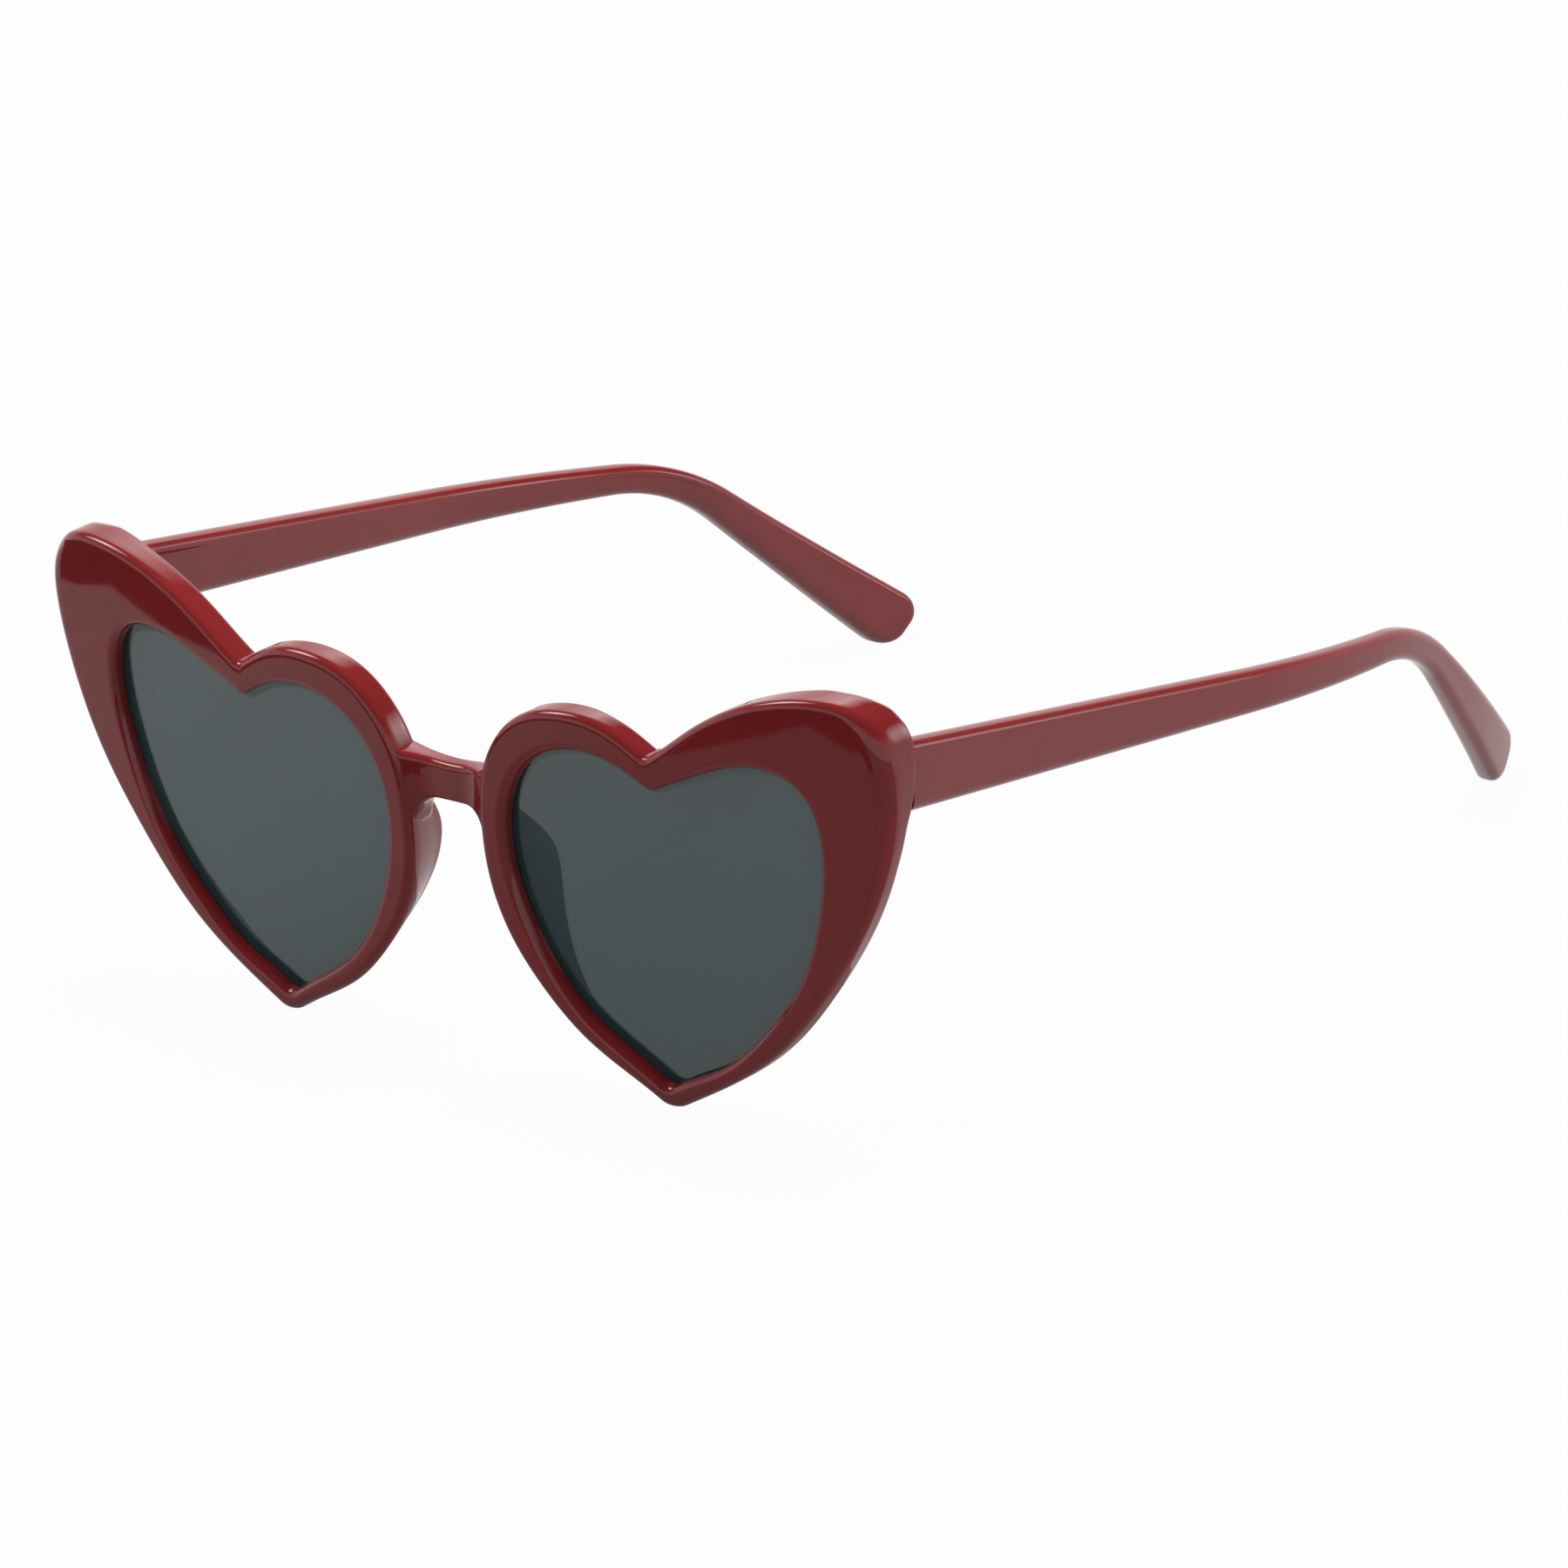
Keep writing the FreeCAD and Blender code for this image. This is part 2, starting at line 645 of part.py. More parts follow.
def rectangle(sketch, left, right, low, high):
    """A rectangle with each side a signed distance, the sum of named sizes, from the hinge axis."""
    spots = {key: sign * total(names) for key, (sign, *names) in
             {"left": left, "right": right, "low": low, "high": high}.items()}
    corners = [Vector(spots[side], spots[level], 0) for side, level in
               (("left", "low"), ("right", "low"), ("right", "high"), ("left", "high"))]
    lines = [sketch.addGeometry(Part.LineSegment(corners[turn], corners[(turn + 1) % 4])) for turn in range(4)]
    for turn, line in enumerate(lines):
        sketch.addConstraint(Sketcher.Constraint("Coincident", line, 2, lines[(turn + 1) % 4], 1))
        sketch.addConstraint(Sketcher.Constraint("Vertical" if turn % 2 else "Horizontal", line))
    for kind, line, (sign, *names) in (("DistanceX", lines[3], left), ("DistanceX", lines[1], right),
                                       ("DistanceY", lines[0], low), ("DistanceY", lines[2], high)):
        ends = (-1, 1, line, 1) if sign > 0 else (line, 1, -1, 1)
        number = sketch.addConstraint(Sketcher.Constraint(kind, *ends, total(names)))
        sketch.setExpression(f"Constraints[{number}]", rule(names))


def add_feature(body, kind, name, sketch, length):
    """Pad a sketch upwards, or cut it upwards out of the body."""
    item = body.newObject(f"PartDesign::{kind}", name)
    item.Profile = sketch
    item.setExpression("Length", length)
    item.Reversed = kind == "Pocket"
    return item


def new_body(name):
    """A body whose origin is the hinge axis, at the bottom of the hinge."""
    body = doc.addObject("PartDesign::Body", name)
    body.Placement.Base = hinge_axis()
    return body


def screw_bore(body):
    """The hole for the hinge screw, through every knuckle of the leaf."""
    bore = new_sketch(body, f"{body.Name}_bore", None)
    circle(bore, ("screw_radius", "screw_clearance"))
    add_feature(body, "Pocket", f"{body.Name}_bore_cut", bore, HINGE_HEIGHT)


def left_front_hinge_leaf():
    """A plate in the boss behind the end piece, with an upper and a lower knuckle."""
    body = new_body("left_front_hinge_leaf")
    plate = new_sketch(body, "front_leaf_plate", None)
    rectangle(plate, (-1, "front_leaf_length"), (1, "knuckle_radius"),
              (-1, "front_leaf_standoff", "front_leaf_thickness"), (-1, "front_leaf_standoff"))
    add_feature(body, "Pad", "front_leaf_plate_pad", plate, HINGE_HEIGHT)
    arm = new_sketch(body, "front_leaf_arm", None)
    rectangle(arm, (-1, "knuckle_radius"), (1, "knuckle_radius"),
              (-1, "front_leaf_standoff", "knuckle_gap"), (1, "knuckle_gap"))
    add_feature(body, "Pad", "front_leaf_arm_pad", arm, HINGE_HEIGHT)
    barrel = new_sketch(body, "front_leaf_barrel", None)
    circle(barrel, ("knuckle_radius",))
    add_feature(body, "Pad", "front_leaf_barrel_pad", barrel, HINGE_HEIGHT)
    gap = new_sketch(body, "front_leaf_gap", "Sizes.knuckle_height - Sizes.knuckle_gap")
    rectangle(gap, (-1, "knuckle_radius", "overrun"), (1, "knuckle_radius", "overrun"),
              (-1, "front_leaf_standoff"), (1, "knuckle_radius", "overrun"))
    add_feature(body, "Pocket", "front_leaf_gap_cut", gap, "Sizes.knuckle_height + 2 * Sizes.knuckle_gap")
    screw_bore(body)
    return body


def left_temple_hinge_leaf():
    """A plate in the inner side of the temple with one knuckle between those of the front leaf."""
    body = new_body("left_temple_hinge_leaf")
    barrel = new_sketch(body, "temple_leaf_barrel", "Sizes.knuckle_height")
    circle(barrel, ("knuckle_radius",))
    add_feature(body, "Pad", "temple_leaf_barrel_pad", barrel, "Sizes.knuckle_height")
    arm = new_sketch(body, "temple_leaf_arm", "Sizes.knuckle_height")
    rectangle(arm, (-1, "knuckle_radius"), (1, "knuckle_radius"),
              (-1, "knuckle_gap"), (1, "temple_leaf_start", "temple_leaf_lap"))
    add_feature(body, "Pad", "temple_leaf_arm_pad", arm, "Sizes.knuckle_height")
    plate = new_sketch(body, "temple_leaf_plate", "Sizes.temple_leaf_margin")
    rectangle(plate, (1, "temple_leaf_face"), (1, "hinge_inset", "temple_leaf_sink"),
              (1, "temple_leaf_start"), (1, "temple_leaf_start", "temple_leaf_length"))
    add_feature(body, "Pad", "temple_leaf_plate_pad", plate, TEMPLE_LEAF_HEIGHT)
    screw_bore(body)
    return body


def left_screw():
    """The hinge screw: a shank through the three knuckles and a slotted head on top."""
    base = hinge_axis()
    top = base + RISE_Z * hinge_height()
    shank = cylinder("screw_shank", "Sizes.screw_radius", HINGE_HEIGHT, base)
    head = cylinder("screw_head", "Sizes.screw_head_radius", "Sizes.screw_head_height", top)
    slot_corner = top + Vector(-size("screw_head_radius"), -size("screw_slot_width") / 2,
                               size("screw_head_height") - size("screw_slot_depth"))
    slot = box("screw_slot", slot_corner, ("2 * Sizes.screw_head_radius", "Sizes.screw_slot_width",
                                           "Sizes.screw_slot_depth"))
    return boolean("Part::Cut", "left_screw", boolean("Part::Fuse", "screw_blank", shank, head), slot)


# Assembly

def middle_depth(pieces):
    """Half way from the front of the glasses to the back of the temple tips."""
    boxes = [piece.Shape.optimalBoundingBox() for piece in pieces]
    return (min(extent.YMin for extent in boxes) + max(extent.YMax for extent in boxes)) / 2


def build():
    """Make every piece, with the origin on the ground below the middle of the glasses."""
    front = front_frame()
    lefts = [left_lens(), left_temple(), left_front_hinge_leaf(), left_temple_hinge_leaf()]
    screw = left_screw()
    doc.recompute()
    shift = DEPTH_Y * middle_depth([front, *lefts])
    for piece in (front, screw, *lefts):
        piece.Placement.Base = piece.Placement.Base - shift
    rights = [mirrored(piece.Name.replace("left", "right"), piece) for piece in lefts]
    screws = doc.addObject("Part::Compound", "hinge_screws")
    screws.Links = [screw, mirrored("right_screw", screw)]
    doc.recompute()
    return [front, *lefts, *rights, screws]


def check(pieces):
    """Stop if any object failed or any piece is missing, broken or in the wrong number of solids."""
    for item in doc.Objects:
        if "Invalid" in item.State or "Error" in item.State:
            raise RuntimeError(f"{item.Name} failed: {item.State}")
    for piece in pieces:
        if piece.Shape.isNull() or not piece.Shape.isValid():
            raise RuntimeError(f"{piece.Label} has no valid shape")


def write(pieces):
    os.makedirs("parts", exist_ok=True)
    for piece in pieces:
        piece.Shape.exportStep(f"parts/{piece.Label}.step")
        print(piece.Label, len(piece.Shape.Solids), round(piece.Shape.Volume, 2))


pieces = build()
check(pieces)
write(pieces)
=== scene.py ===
# %% [markdown]
# # Heart shaped sunglasses
# The imported model gives the solids, their places and the two folding joints. This lesson dresses
# them: a moulded front, two tinted lenses, two temples and small metal hinges. Loading the frame
# comes first, and its parts are kept, so that their boxes can place the finished pieces.

# %% Load the frame
import bmesh
import bpy
import math
import numpy as np
from mathutils import Matrix, Vector


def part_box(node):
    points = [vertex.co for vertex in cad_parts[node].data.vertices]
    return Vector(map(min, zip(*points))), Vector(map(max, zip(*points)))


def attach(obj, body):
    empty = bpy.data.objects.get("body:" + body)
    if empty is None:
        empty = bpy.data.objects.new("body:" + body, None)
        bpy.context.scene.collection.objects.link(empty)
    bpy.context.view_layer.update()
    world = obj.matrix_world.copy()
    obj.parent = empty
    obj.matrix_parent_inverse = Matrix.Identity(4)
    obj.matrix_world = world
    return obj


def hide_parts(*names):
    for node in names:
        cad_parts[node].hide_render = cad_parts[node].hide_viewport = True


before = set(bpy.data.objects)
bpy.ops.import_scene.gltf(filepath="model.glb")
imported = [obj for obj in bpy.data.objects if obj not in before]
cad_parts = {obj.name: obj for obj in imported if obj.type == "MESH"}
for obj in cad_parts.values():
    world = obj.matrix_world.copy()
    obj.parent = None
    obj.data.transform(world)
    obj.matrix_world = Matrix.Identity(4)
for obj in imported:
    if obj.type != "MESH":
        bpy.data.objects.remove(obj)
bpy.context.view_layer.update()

# %% [markdown]
# ## Sizes
# The front of moulded sunglasses is drawn flat and then bent to one large radius, the base curve.
# All shapes below are laid out in millimetres on that flat drawing, with a depth measured from the
# front face. The numbers repeat the driving sizes of the solids.

# %% Sizes in millimetres
MM = 0.001
BRIDGE_GAP, RIM_NASAL, LENS_WIDTH, RIM_TEMPORAL = 12.8, 3.7, 52.6, 11.5
RIM_BOTTOM, LENS_HEIGHT, RIM_TOP = 2.8, 46.5, 10.1
RIM_DEPTH, BASE_CURVE = 3.8, 500.0
LENS_SETBACK, LENS_THICKNESS, LENS_BITE, LENS_CLEARANCE = 1.9, 1.5, 0.7, 0.05
TEMPLE_THICKNESS, TEMPLE_INSET, END_DEPTH = 3.6, 0.3, 5.1
TEMPLE_LEVEL, TEMPLE_SLOPE, ROOT_HEIGHT = 49.05, 9.8, 9.1
JOINT_GAP = 0.06

HEART_LEFT = BRIDGE_GAP / 2
HEART_WIDTH = RIM_NASAL + LENS_WIDTH + RIM_TEMPORAL
HEART_HEIGHT = RIM_BOTTOM + LENS_HEIGHT + RIM_TOP
TEMPLE_OUTER = HEART_LEFT + HEART_WIDTH - TEMPLE_INSET
TEMPLE_INNER = TEMPLE_OUTER - TEMPLE_THICKNESS


def sag(across):
    """How far the base curve has fallen back at a distance from the middle."""
    return BASE_CURVE - np.sqrt(BASE_CURVE ** 2 - np.asarray(across) ** 2)


JOINT_DEPTH = float(sag(TEMPLE_OUTER)) + END_DEPTH
FRONT_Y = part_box("front_frame")[0].y / MM - float(sag(HEART_LEFT + 1.0))
print("one heart is", HEART_WIDTH, "x", HEART_HEIGHT, "mm")
print("the hinge joint lies at depth", round(JOINT_DEPTH, 2), "mm")

# %% [markdown]
# ## Camera
# The photograph was taken with a long lens from the wearer's front left, a little above, and the
# picture is slightly turned. The camera below was matched to the outline: its direction is given by
# an azimuth, an elevation and a roll, its distance by the scale.

# %% Camera
AZIMUTH, ELEVATION, ROLL = math.radians(44.955), math.radians(20.927), math.radians(-6.379)
PAN_X, PAN_Y, PIXELS_PER_MM, FOCAL_PIXELS, PICTURE = -8.239, 11.937, 8.749, 16123.0, 1800.0

back = Vector((math.sin(AZIMUTH) * math.cos(ELEVATION), -math.cos(AZIMUTH) * math.cos(ELEVATION),
               math.sin(ELEVATION)))
level = Vector((math.cos(AZIMUTH), math.sin(AZIMUTH), 0))
upright = back.cross(level)
right = level * math.cos(ROLL) + upright * math.sin(ROLL)
up = upright * math.cos(ROLL) - level * math.sin(ROLL)

camera_data = bpy.data.cameras.new("photo_camera")
camera_data.sensor_width = 36.0
camera_data.lens = FOCAL_PIXELS / PICTURE * camera_data.sensor_width
camera_data.clip_start = 0.1
camera_data.clip_end = 50.0
camera = bpy.data.objects.new("photo_camera", camera_data)
place = (back * (FOCAL_PIXELS / PIXELS_PER_MM) + right * PAN_X + up * PAN_Y) * MM
turn = Matrix((right, up, back)).transposed().to_4x4()
camera.matrix_world = Matrix.Translation(place) @ turn
bpy.context.scene.collection.objects.link(camera)
bpy.context.scene.camera = camera
print("camera at", [round(value, 3) for value in place], "lens", round(camera_data.lens, 1), "mm")

# %% [markdown]
# ## Node trees as Python sums
# Materials and bends are both node trees. One small class wraps a socket, so that a sum on it adds
# Math nodes, and its one method adds any other node with its settings and links. Three short
# functions name the nodes that every finish here needs: a noise, a colour ramp and a bump.

# %% Node tree helper


class Wire:
    """One socket of a node tree. Sums add Math nodes; node() adds any other node."""

    def __init__(self, tree, socket=None):
        self.tree, self.socket = tree, socket

    def node(self, kind, settings=None, inputs=None, out=0):
        made = self.tree.nodes.new(kind)
        for name, value in (settings or {}).items():
            if name == "stops":
                while len(made.color_ramp.elements) < len(value):
                    made.color_ramp.elements.new(1.0)
                for element, (spot, colour) in zip(made.color_ramp.elements, value):
                    element.position, element.color = spot, colour
            else:
                setattr(made, name, value)
        for name, value in (inputs or {}).items():
            if isinstance(value, Wire):
                self.tree.links.new(value.socket, made.inputs[name])
            else:
                made.inputs[name].default_value = value
        return Wire(self.tree, made.outputs[out])

    def math(self, operation, first, second=0.0):
        kind = "ShaderNodeMath"
        return self.node(kind, {"operation": operation}, {0: first, 1: second})

    def __add__(self, other):
        return self.math("ADD", self, other)

    def __sub__(self, other):
        return self.math("SUBTRACT", self, other)

    def __rsub__(self, other):
        return self.math("SUBTRACT", other, self)

    def __mul__(self, other):
        return self.math("MULTIPLY", self, other)

    def __truediv__(self, other):
        return self.math("DIVIDE", self, other)

    __radd__, __rmul__ = __add__, __mul__


def rgb(red, green, blue, alpha=1.0):
    return (red, green, blue, alpha)


def new_material(name):
    """An empty material with its tree, its Principled shader and a place to read from."""
    material = bpy.data.materials.new(name)
    material.use_nodes = True
    tree = material.node_tree
    shader = tree.nodes["Principled BSDF"]
    wire = Wire(tree)
    return material, wire, shader, wire.node("ShaderNodeTexCoord", out="Object")


def feed(wire, shader, **sockets):
    """Link or set the shader's sockets, named with underscores for spaces."""
    for name, value in sockets.items():
        socket = shader.inputs[name.replace("_", " ")]
        if isinstance(value, Wire):
            wire.tree.links.new(value.socket, socket)
        else:
            socket.default_value = value


def noise(wire, spot, scale, detail, roughness=0.5):
    """How cloudy a place is, from 0 to 1, at one scale."""
    sizes = {"Vector": spot, "Scale": scale, "Detail": detail, "Roughness": roughness}
    return wire.node("ShaderNodeTexNoise", None, sizes, "Fac")


def ramp(wire, share, *stops):
    """A colour that runs through the stops as the share rises."""
    return wire.node("ShaderNodeValToRGB", {"stops": stops}, {"Fac": share}, "Color")


def bump(wire, height, distance, strength=1.0):
    """A shallow relief for the Normal socket."""
    sizes = {"Strength": strength, "Distance": distance, "Height": height}
    return wire.node("ShaderNodeBump", None, sizes, "Normal")


print("node helpers ready")

# %% [markdown]
# ## Glossy red plastic
# The frame is injection moulded and polished. Up close such plastic is not even: the pigment is a
# little cloudy, the polish leaves faint smears in the gloss, and the surface keeps a very shallow
# waviness from shrinking in the mould, which is what bends the edges of reflections. Three noises
# at three scales give exactly these, and nothing else.

# %% Frame plastic


def frame_plastic():
    material, wire, shader, spot = new_material("frame_plastic_gloss")
    cloud = noise(wire, spot, 55.0, 4.0, 0.55)
    pigment = ramp(wire, cloud, (0.25, rgb(0.140, 0.0110, 0.0122)), (0.75, rgb(0.165, 0.0132, 0.0146)))
    smear = noise(wire, spot, 210.0, 3.0)
    swell, peel = noise(wire, spot, 38.0, 1.0), noise(wire, spot, 900.0, 2.0)
    relief = bump(wire, swell + peel * 0.004, 0.00005)
    feed(wire, shader, Base_Color=pigment, Roughness=smear * 0.03 + 0.02, Normal=relief,
         IOR=1.5, Specular_IOR_Level=0.5)
    return material


PLASTIC = frame_plastic()
print("made", PLASTIC.name)

# %% [markdown]
# ## Tinted lens plastic
# The lenses are thin dark sheets, a little see-through: a nose pad behind one shows as a darker
# shape. Alpha keeps that in any viewer. The tint is slightly lighter towards the top: a gradient
# runs along the height, with a faint cloud in it.

# %% Lens tint


def lens_tint():
    material, wire, shader, spot = new_material("lens_tint_gloss")
    height = wire.node("ShaderNodeSeparateXYZ", None, {"Vector": spot}, "Z")
    share = height / (HEART_HEIGHT * MM)
    cloud = noise(wire, spot, 40.0, 2.0)
    tint = ramp(wire, share + cloud * 0.1, (0.1, rgb(0.012, 0.043, 0.047)), (0.9, rgb(0.018, 0.050, 0.054)))
    relief = bump(wire, noise(wire, spot, 30.0, 1.0), 0.00003)
    feed(wire, shader, Base_Color=tint, Roughness=cloud * 0.03 + 0.03, Alpha=0.79 - share * 0.03,
         Normal=relief, IOR=1.5)
    return material


TINT = lens_tint()
print("made", TINT.name)

# %% [markdown]
# ## Hinge metal
# Eyewear hinges are small pieces of nickel silver, tumbled until their edges are soft and the
# surface is covered with fine random marks, which a fine noise gives. The screws are plated steel,
# brighter and smoother, with only a faint unevenness in the plating.

# %% Hinge metals


def hinge_metal():
    material, wire, shader, spot = new_material("hinge_metal_tumbled")
    marks = noise(wire, spot, 2600.0, 5.0, 0.7)
    tone = ramp(wire, marks, (0.3, rgb(0.50, 0.48, 0.44)), (0.7, rgb(0.68, 0.66, 0.62)))
    relief = bump(wire, marks, 0.00002, 0.4)
    feed(wire, shader, Base_Color=tone, Metallic=1.0, Roughness=marks * 0.25 + 0.22, Normal=relief)
    return material


def screw_metal():
    material, wire, shader, spot = new_material("screw_metal_plated")
    marks = noise(wire, spot, 4200.0, 3.0)
    tone = ramp(wire, marks, (0.2, rgb(0.60, 0.60, 0.61)), (0.8, rgb(0.78, 0.78, 0.78)))
    feed(wire, shader, Base_Color=tone, Metallic=1.0, Roughness=marks * 0.15 + 0.12)
    return material


NICKEL, PLATED = hinge_metal(), screw_metal()
print("made", NICKEL.name, PLATED.name)

# %% [markdown]
# ## A smooth curve through points
# A pattern maker bends a flexible ruler through a few marks. A cubic through the points, with chosen
# directions at its ends, draws the same curve. It is solved here as a small set of equations and
# resampled evenly, so that the surfaces built on it have even faces.

# %% Smooth curve through points


def ruler_curve(points, start_way, end_way, count):
    """Evenly spaced points on the smooth curve through the given ones."""
    points = np.array(points, float)
    chords = np.linalg.norm(np.diff(points, axis=0), axis=1)
    size = len(points)
    rows, values = np.zeros((size, size)), np.zeros((size, 2))
    rows[0, 0] = rows[-1, -1] = 1.0
    values[0], values[-1] = start_way, end_way
    for index in range(1, size - 1):
        before, after = chords[index - 1], chords[index]
        rows[index, index - 1:index + 2] = after, 2 * (before + after), before
        gain_before = (points[index] - points[index - 1]) / before
        gain_after = (points[index + 1] - points[index]) / after
        values[index] = 3 * (after * gain_before + before * gain_after)
    slopes = np.linalg.solve(rows, values)
    fine = []
    for index in range(size - 1):
        share = np.linspace(0, 1, 40, endpoint=False)[:, None]
        square, cube, chord = share ** 2, share ** 3, chords[index]
        leave, arrive = chord * slopes[index], chord * slopes[index + 1]
        start = (2 * cube - 3 * square + 1) * points[index] + (cube - 2 * square + share) * leave
        end = (3 * square - 2 * cube) * points[index + 1] + (cube - square) * arrive
        fine.append(start + end)
    fine = np.vstack([*fine, points[-1:]])
    travelled = np.concatenate([[0], np.cumsum(np.linalg.norm(np.diff(fine, axis=0), axis=1))])
    wanted = np.linspace(0, travelled[-1], count)
    return np.stack([np.interp(wanted, travelled, fine[:, axis]) for axis in (0, 1)], axis=1)


print("ruler ready")

# %% [markdown]
# ## Heart outlines
# Both the outside of a rim and its lens opening are hearts: a round tip, a nasal lobe, a notch and
# a taller temporal lobe that rises to a cat-eye corner. Each lobe is one smooth curve through a few
# points, given as shares of the heart's width and height; the tip and the notch are small arcs.

# %% Heart outlines
OUTER_HEART = {
    "tip": 0.409, "tip_rises": (31, 27), "tip_round": 4.0,
    "notch": (0.436, 0.806), "notch_rises": (32, 30), "notch_round": 0.9,
    "nasal": ((0.211, 0.114), (0.114, 0.213), (0.046, 0.318), (0.006, 0.445), (0.0, 0.568),
              (0.016, 0.687), (0.059, 0.777), (0.136, 0.847), (0.240, 0.873), (0.341, 0.860)),
    "temporal": ((0.541, 0.883), (0.650, 0.950), (0.754, 0.987), (0.852, 1.0), (0.932, 0.985),
                 (0.985, 0.926), (1.0, 0.822), (0.979, 0.686), (0.914, 0.511), (0.802, 0.326),
                 (0.663, 0.160)),
}
OPENING_HEART = {
    "tip": 0.448, "tip_rises": (34, 29), "tip_round": 2.4,
    "notch": (0.496, 0.881), "notch_rises": (27, 25), "notch_round": 0.9,
    "nasal": ((0.217, 0.152), (0.088, 0.313), (0.020, 0.480), (0.0, 0.630), (0.022, 0.765),
              (0.078, 0.863), (0.165, 0.929), (0.285, 0.956), (0.395, 0.933)),
    "temporal": ((0.605, 0.932), (0.725, 0.982), (0.838, 1.0), (0.928, 0.974), (0.982, 0.908),
                 (1.0, 0.805), (0.974, 0.612), (0.894, 0.393), (0.765, 0.216), (0.615, 0.083)),
}
TIP_POINTS, NASAL_POINTS, NOTCH_POINTS, TEMPORAL_POINTS = 14, 130, 12, 170


def cup(low, radius, rises, count):
    """The round bottom of a tip or notch, from its left to its right side, and its two directions."""
    left, right_side = (math.radians(angle) for angle in rises)
    angles = np.linspace(-left, right_side, count)
    arc = np.stack([low[0] + radius * np.sin(angles), low[1] + radius * (1 - np.cos(angles))], axis=1)
    return arc, (-math.cos(left), math.sin(left)), (math.cos(right_side), math.sin(right_side))


def heart_outline(shares, left, bottom, width, height):
    """Points around a heart: its tip, up the nasal side, the notch, and down the temporal side."""
    def spot(pair):
        return left + pair[0] * width, bottom + pair[1] * height

    def turn(name, place, count):
        return cup(spot(place), shares[f"{name}_round"], shares[f"{name}_rises"], count)

    tip, tip_left, tip_right = turn("tip", (shares["tip"], 0), TIP_POINTS)
    notch, notch_left, notch_right = turn("notch", shares["notch"], NOTCH_POINTS)
    into_notch, into_tip = [-value for value in notch_left], [-value for value in tip_right]
    rising = [tip[0], *map(spot, shares["nasal"]), notch[0]]
    falling = [notch[-1], *map(spot, shares["temporal"]), tip[-1]]
    nasal = ruler_curve(rising, tip_left, into_notch, NASAL_POINTS)
    temporal = ruler_curve(falling, notch_right, into_tip, TEMPORAL_POINTS)
    return np.vstack([tip[::-1], nasal[1:], notch[1:], temporal[1:-1]])


def outward(loop):
    """Unit directions that point out of a loop that runs clockwise."""
    along = np.roll(loop, -1, axis=0) - np.roll(loop, 1, axis=0)
    away = np.stack([-along[:, 1], along[:, 0]], axis=1)
    return away / np.linalg.norm(away, axis=1)[:, None]


outer = heart_outline(OUTER_HEART, HEART_LEFT, 0.0, HEART_WIDTH, HEART_HEIGHT)
opening = heart_outline(OPENING_HEART, HEART_LEFT + RIM_NASAL, RIM_BOTTOM, LENS_WIDTH, LENS_HEIGHT)
outer_out, opening_out = outward(outer), outward(opening)
print(len(outer), "stations around a heart, from", outer.min(0).round(1), "to", outer.max(0).round(1))

# %% [markdown]
# ## Meshes from rings
# A rim, a temple and a bridge are all rings of the same number of points joined to their
# neighbours. The helpers join rings into faces, close the ends of a row of rings, make the mesh in
# metres, and turn on smooth shading that keeps real corners sharp.

# %% Ring and mesh helpers


def join_rings(rings, closed):
    """Faces between rings of equal length; closed also joins the last ring to the first."""
    count, around = len(rings), len(rings[0])
    faces = []
    for ring in range(count if closed else count - 1):
        after = (ring + 1) % count
        for point in range(around):
            beside = (point + 1) % around
            here, there = ring * around, after * around
            faces.append((here + point, here + beside, there + beside, there + point))
    return faces


def solid_mesh(name, points, faces):
    """A closed mesh in metres, its points joined where they meet and its faces turned outwards."""
    mesh = bpy.data.meshes.new(name)
    mesh.from_pydata((np.asarray(points).reshape(-1, 3) * MM).tolist(), [], faces)
    shape = bmesh.new()
    shape.from_mesh(mesh)
    bmesh.ops.remove_doubles(shape, verts=shape.verts, dist=0.004 * MM)
    bmesh.ops.recalc_face_normals(shape, faces=shape.faces)
    shape.to_mesh(mesh)
    shape.free()
    return mesh


def tube_mesh(name, rings):
    """A closed mesh along a row of rings, with a face over each end."""
    around = len(rings[0])
    last = (len(rings) - 1) * around
    ends = [tuple(range(around)), tuple(range(last + around - 1, last - 1, -1))]
    return solid_mesh(name, np.array(rings), join_rings(rings, False) + ends)


def smooth(mesh, degrees):
    """Smooth shading that keeps corners sharper than an angle."""
    mesh.shade_smooth()
    mesh.set_sharp_from_angle(angle=math.radians(degrees))


def new_object(name, mesh):
    item = bpy.data.objects.new(name, mesh)
    bpy.context.scene.collection.objects.link(item)
    return item


def mirrored_mesh(mesh, name):
    """The same shape for the wearer's right side, with its faces turned outwards again."""
    copy = mesh.copy()
    copy.name = name
    copy.transform(Matrix.Scale(-1, 4, (1, 0, 0)))
    copy.flip_normals()
    return copy


def evaluated(item, name):
    """The plain mesh that an object's modifiers give."""
    depsgraph = bpy.context.evaluated_depsgraph_get()
    mesh = bpy.data.meshes.new_from_object(item.evaluated_get(depsgraph), depsgraph=depsgraph)
    mesh.name = name
    return mesh


print("ring helpers ready")

# %% [markdown]
# ## The bend of the base curve, as a rule
# Every point of the front falls back by the same rule: the further from the middle, the deeper it
# lies, on a circle of one radius. Geometry Nodes write that rule once, with the radius as a named
# input, and the rim, bridge and lenses all pass through it. So the flat drawing stays easy to read.

# %% Base curve bend


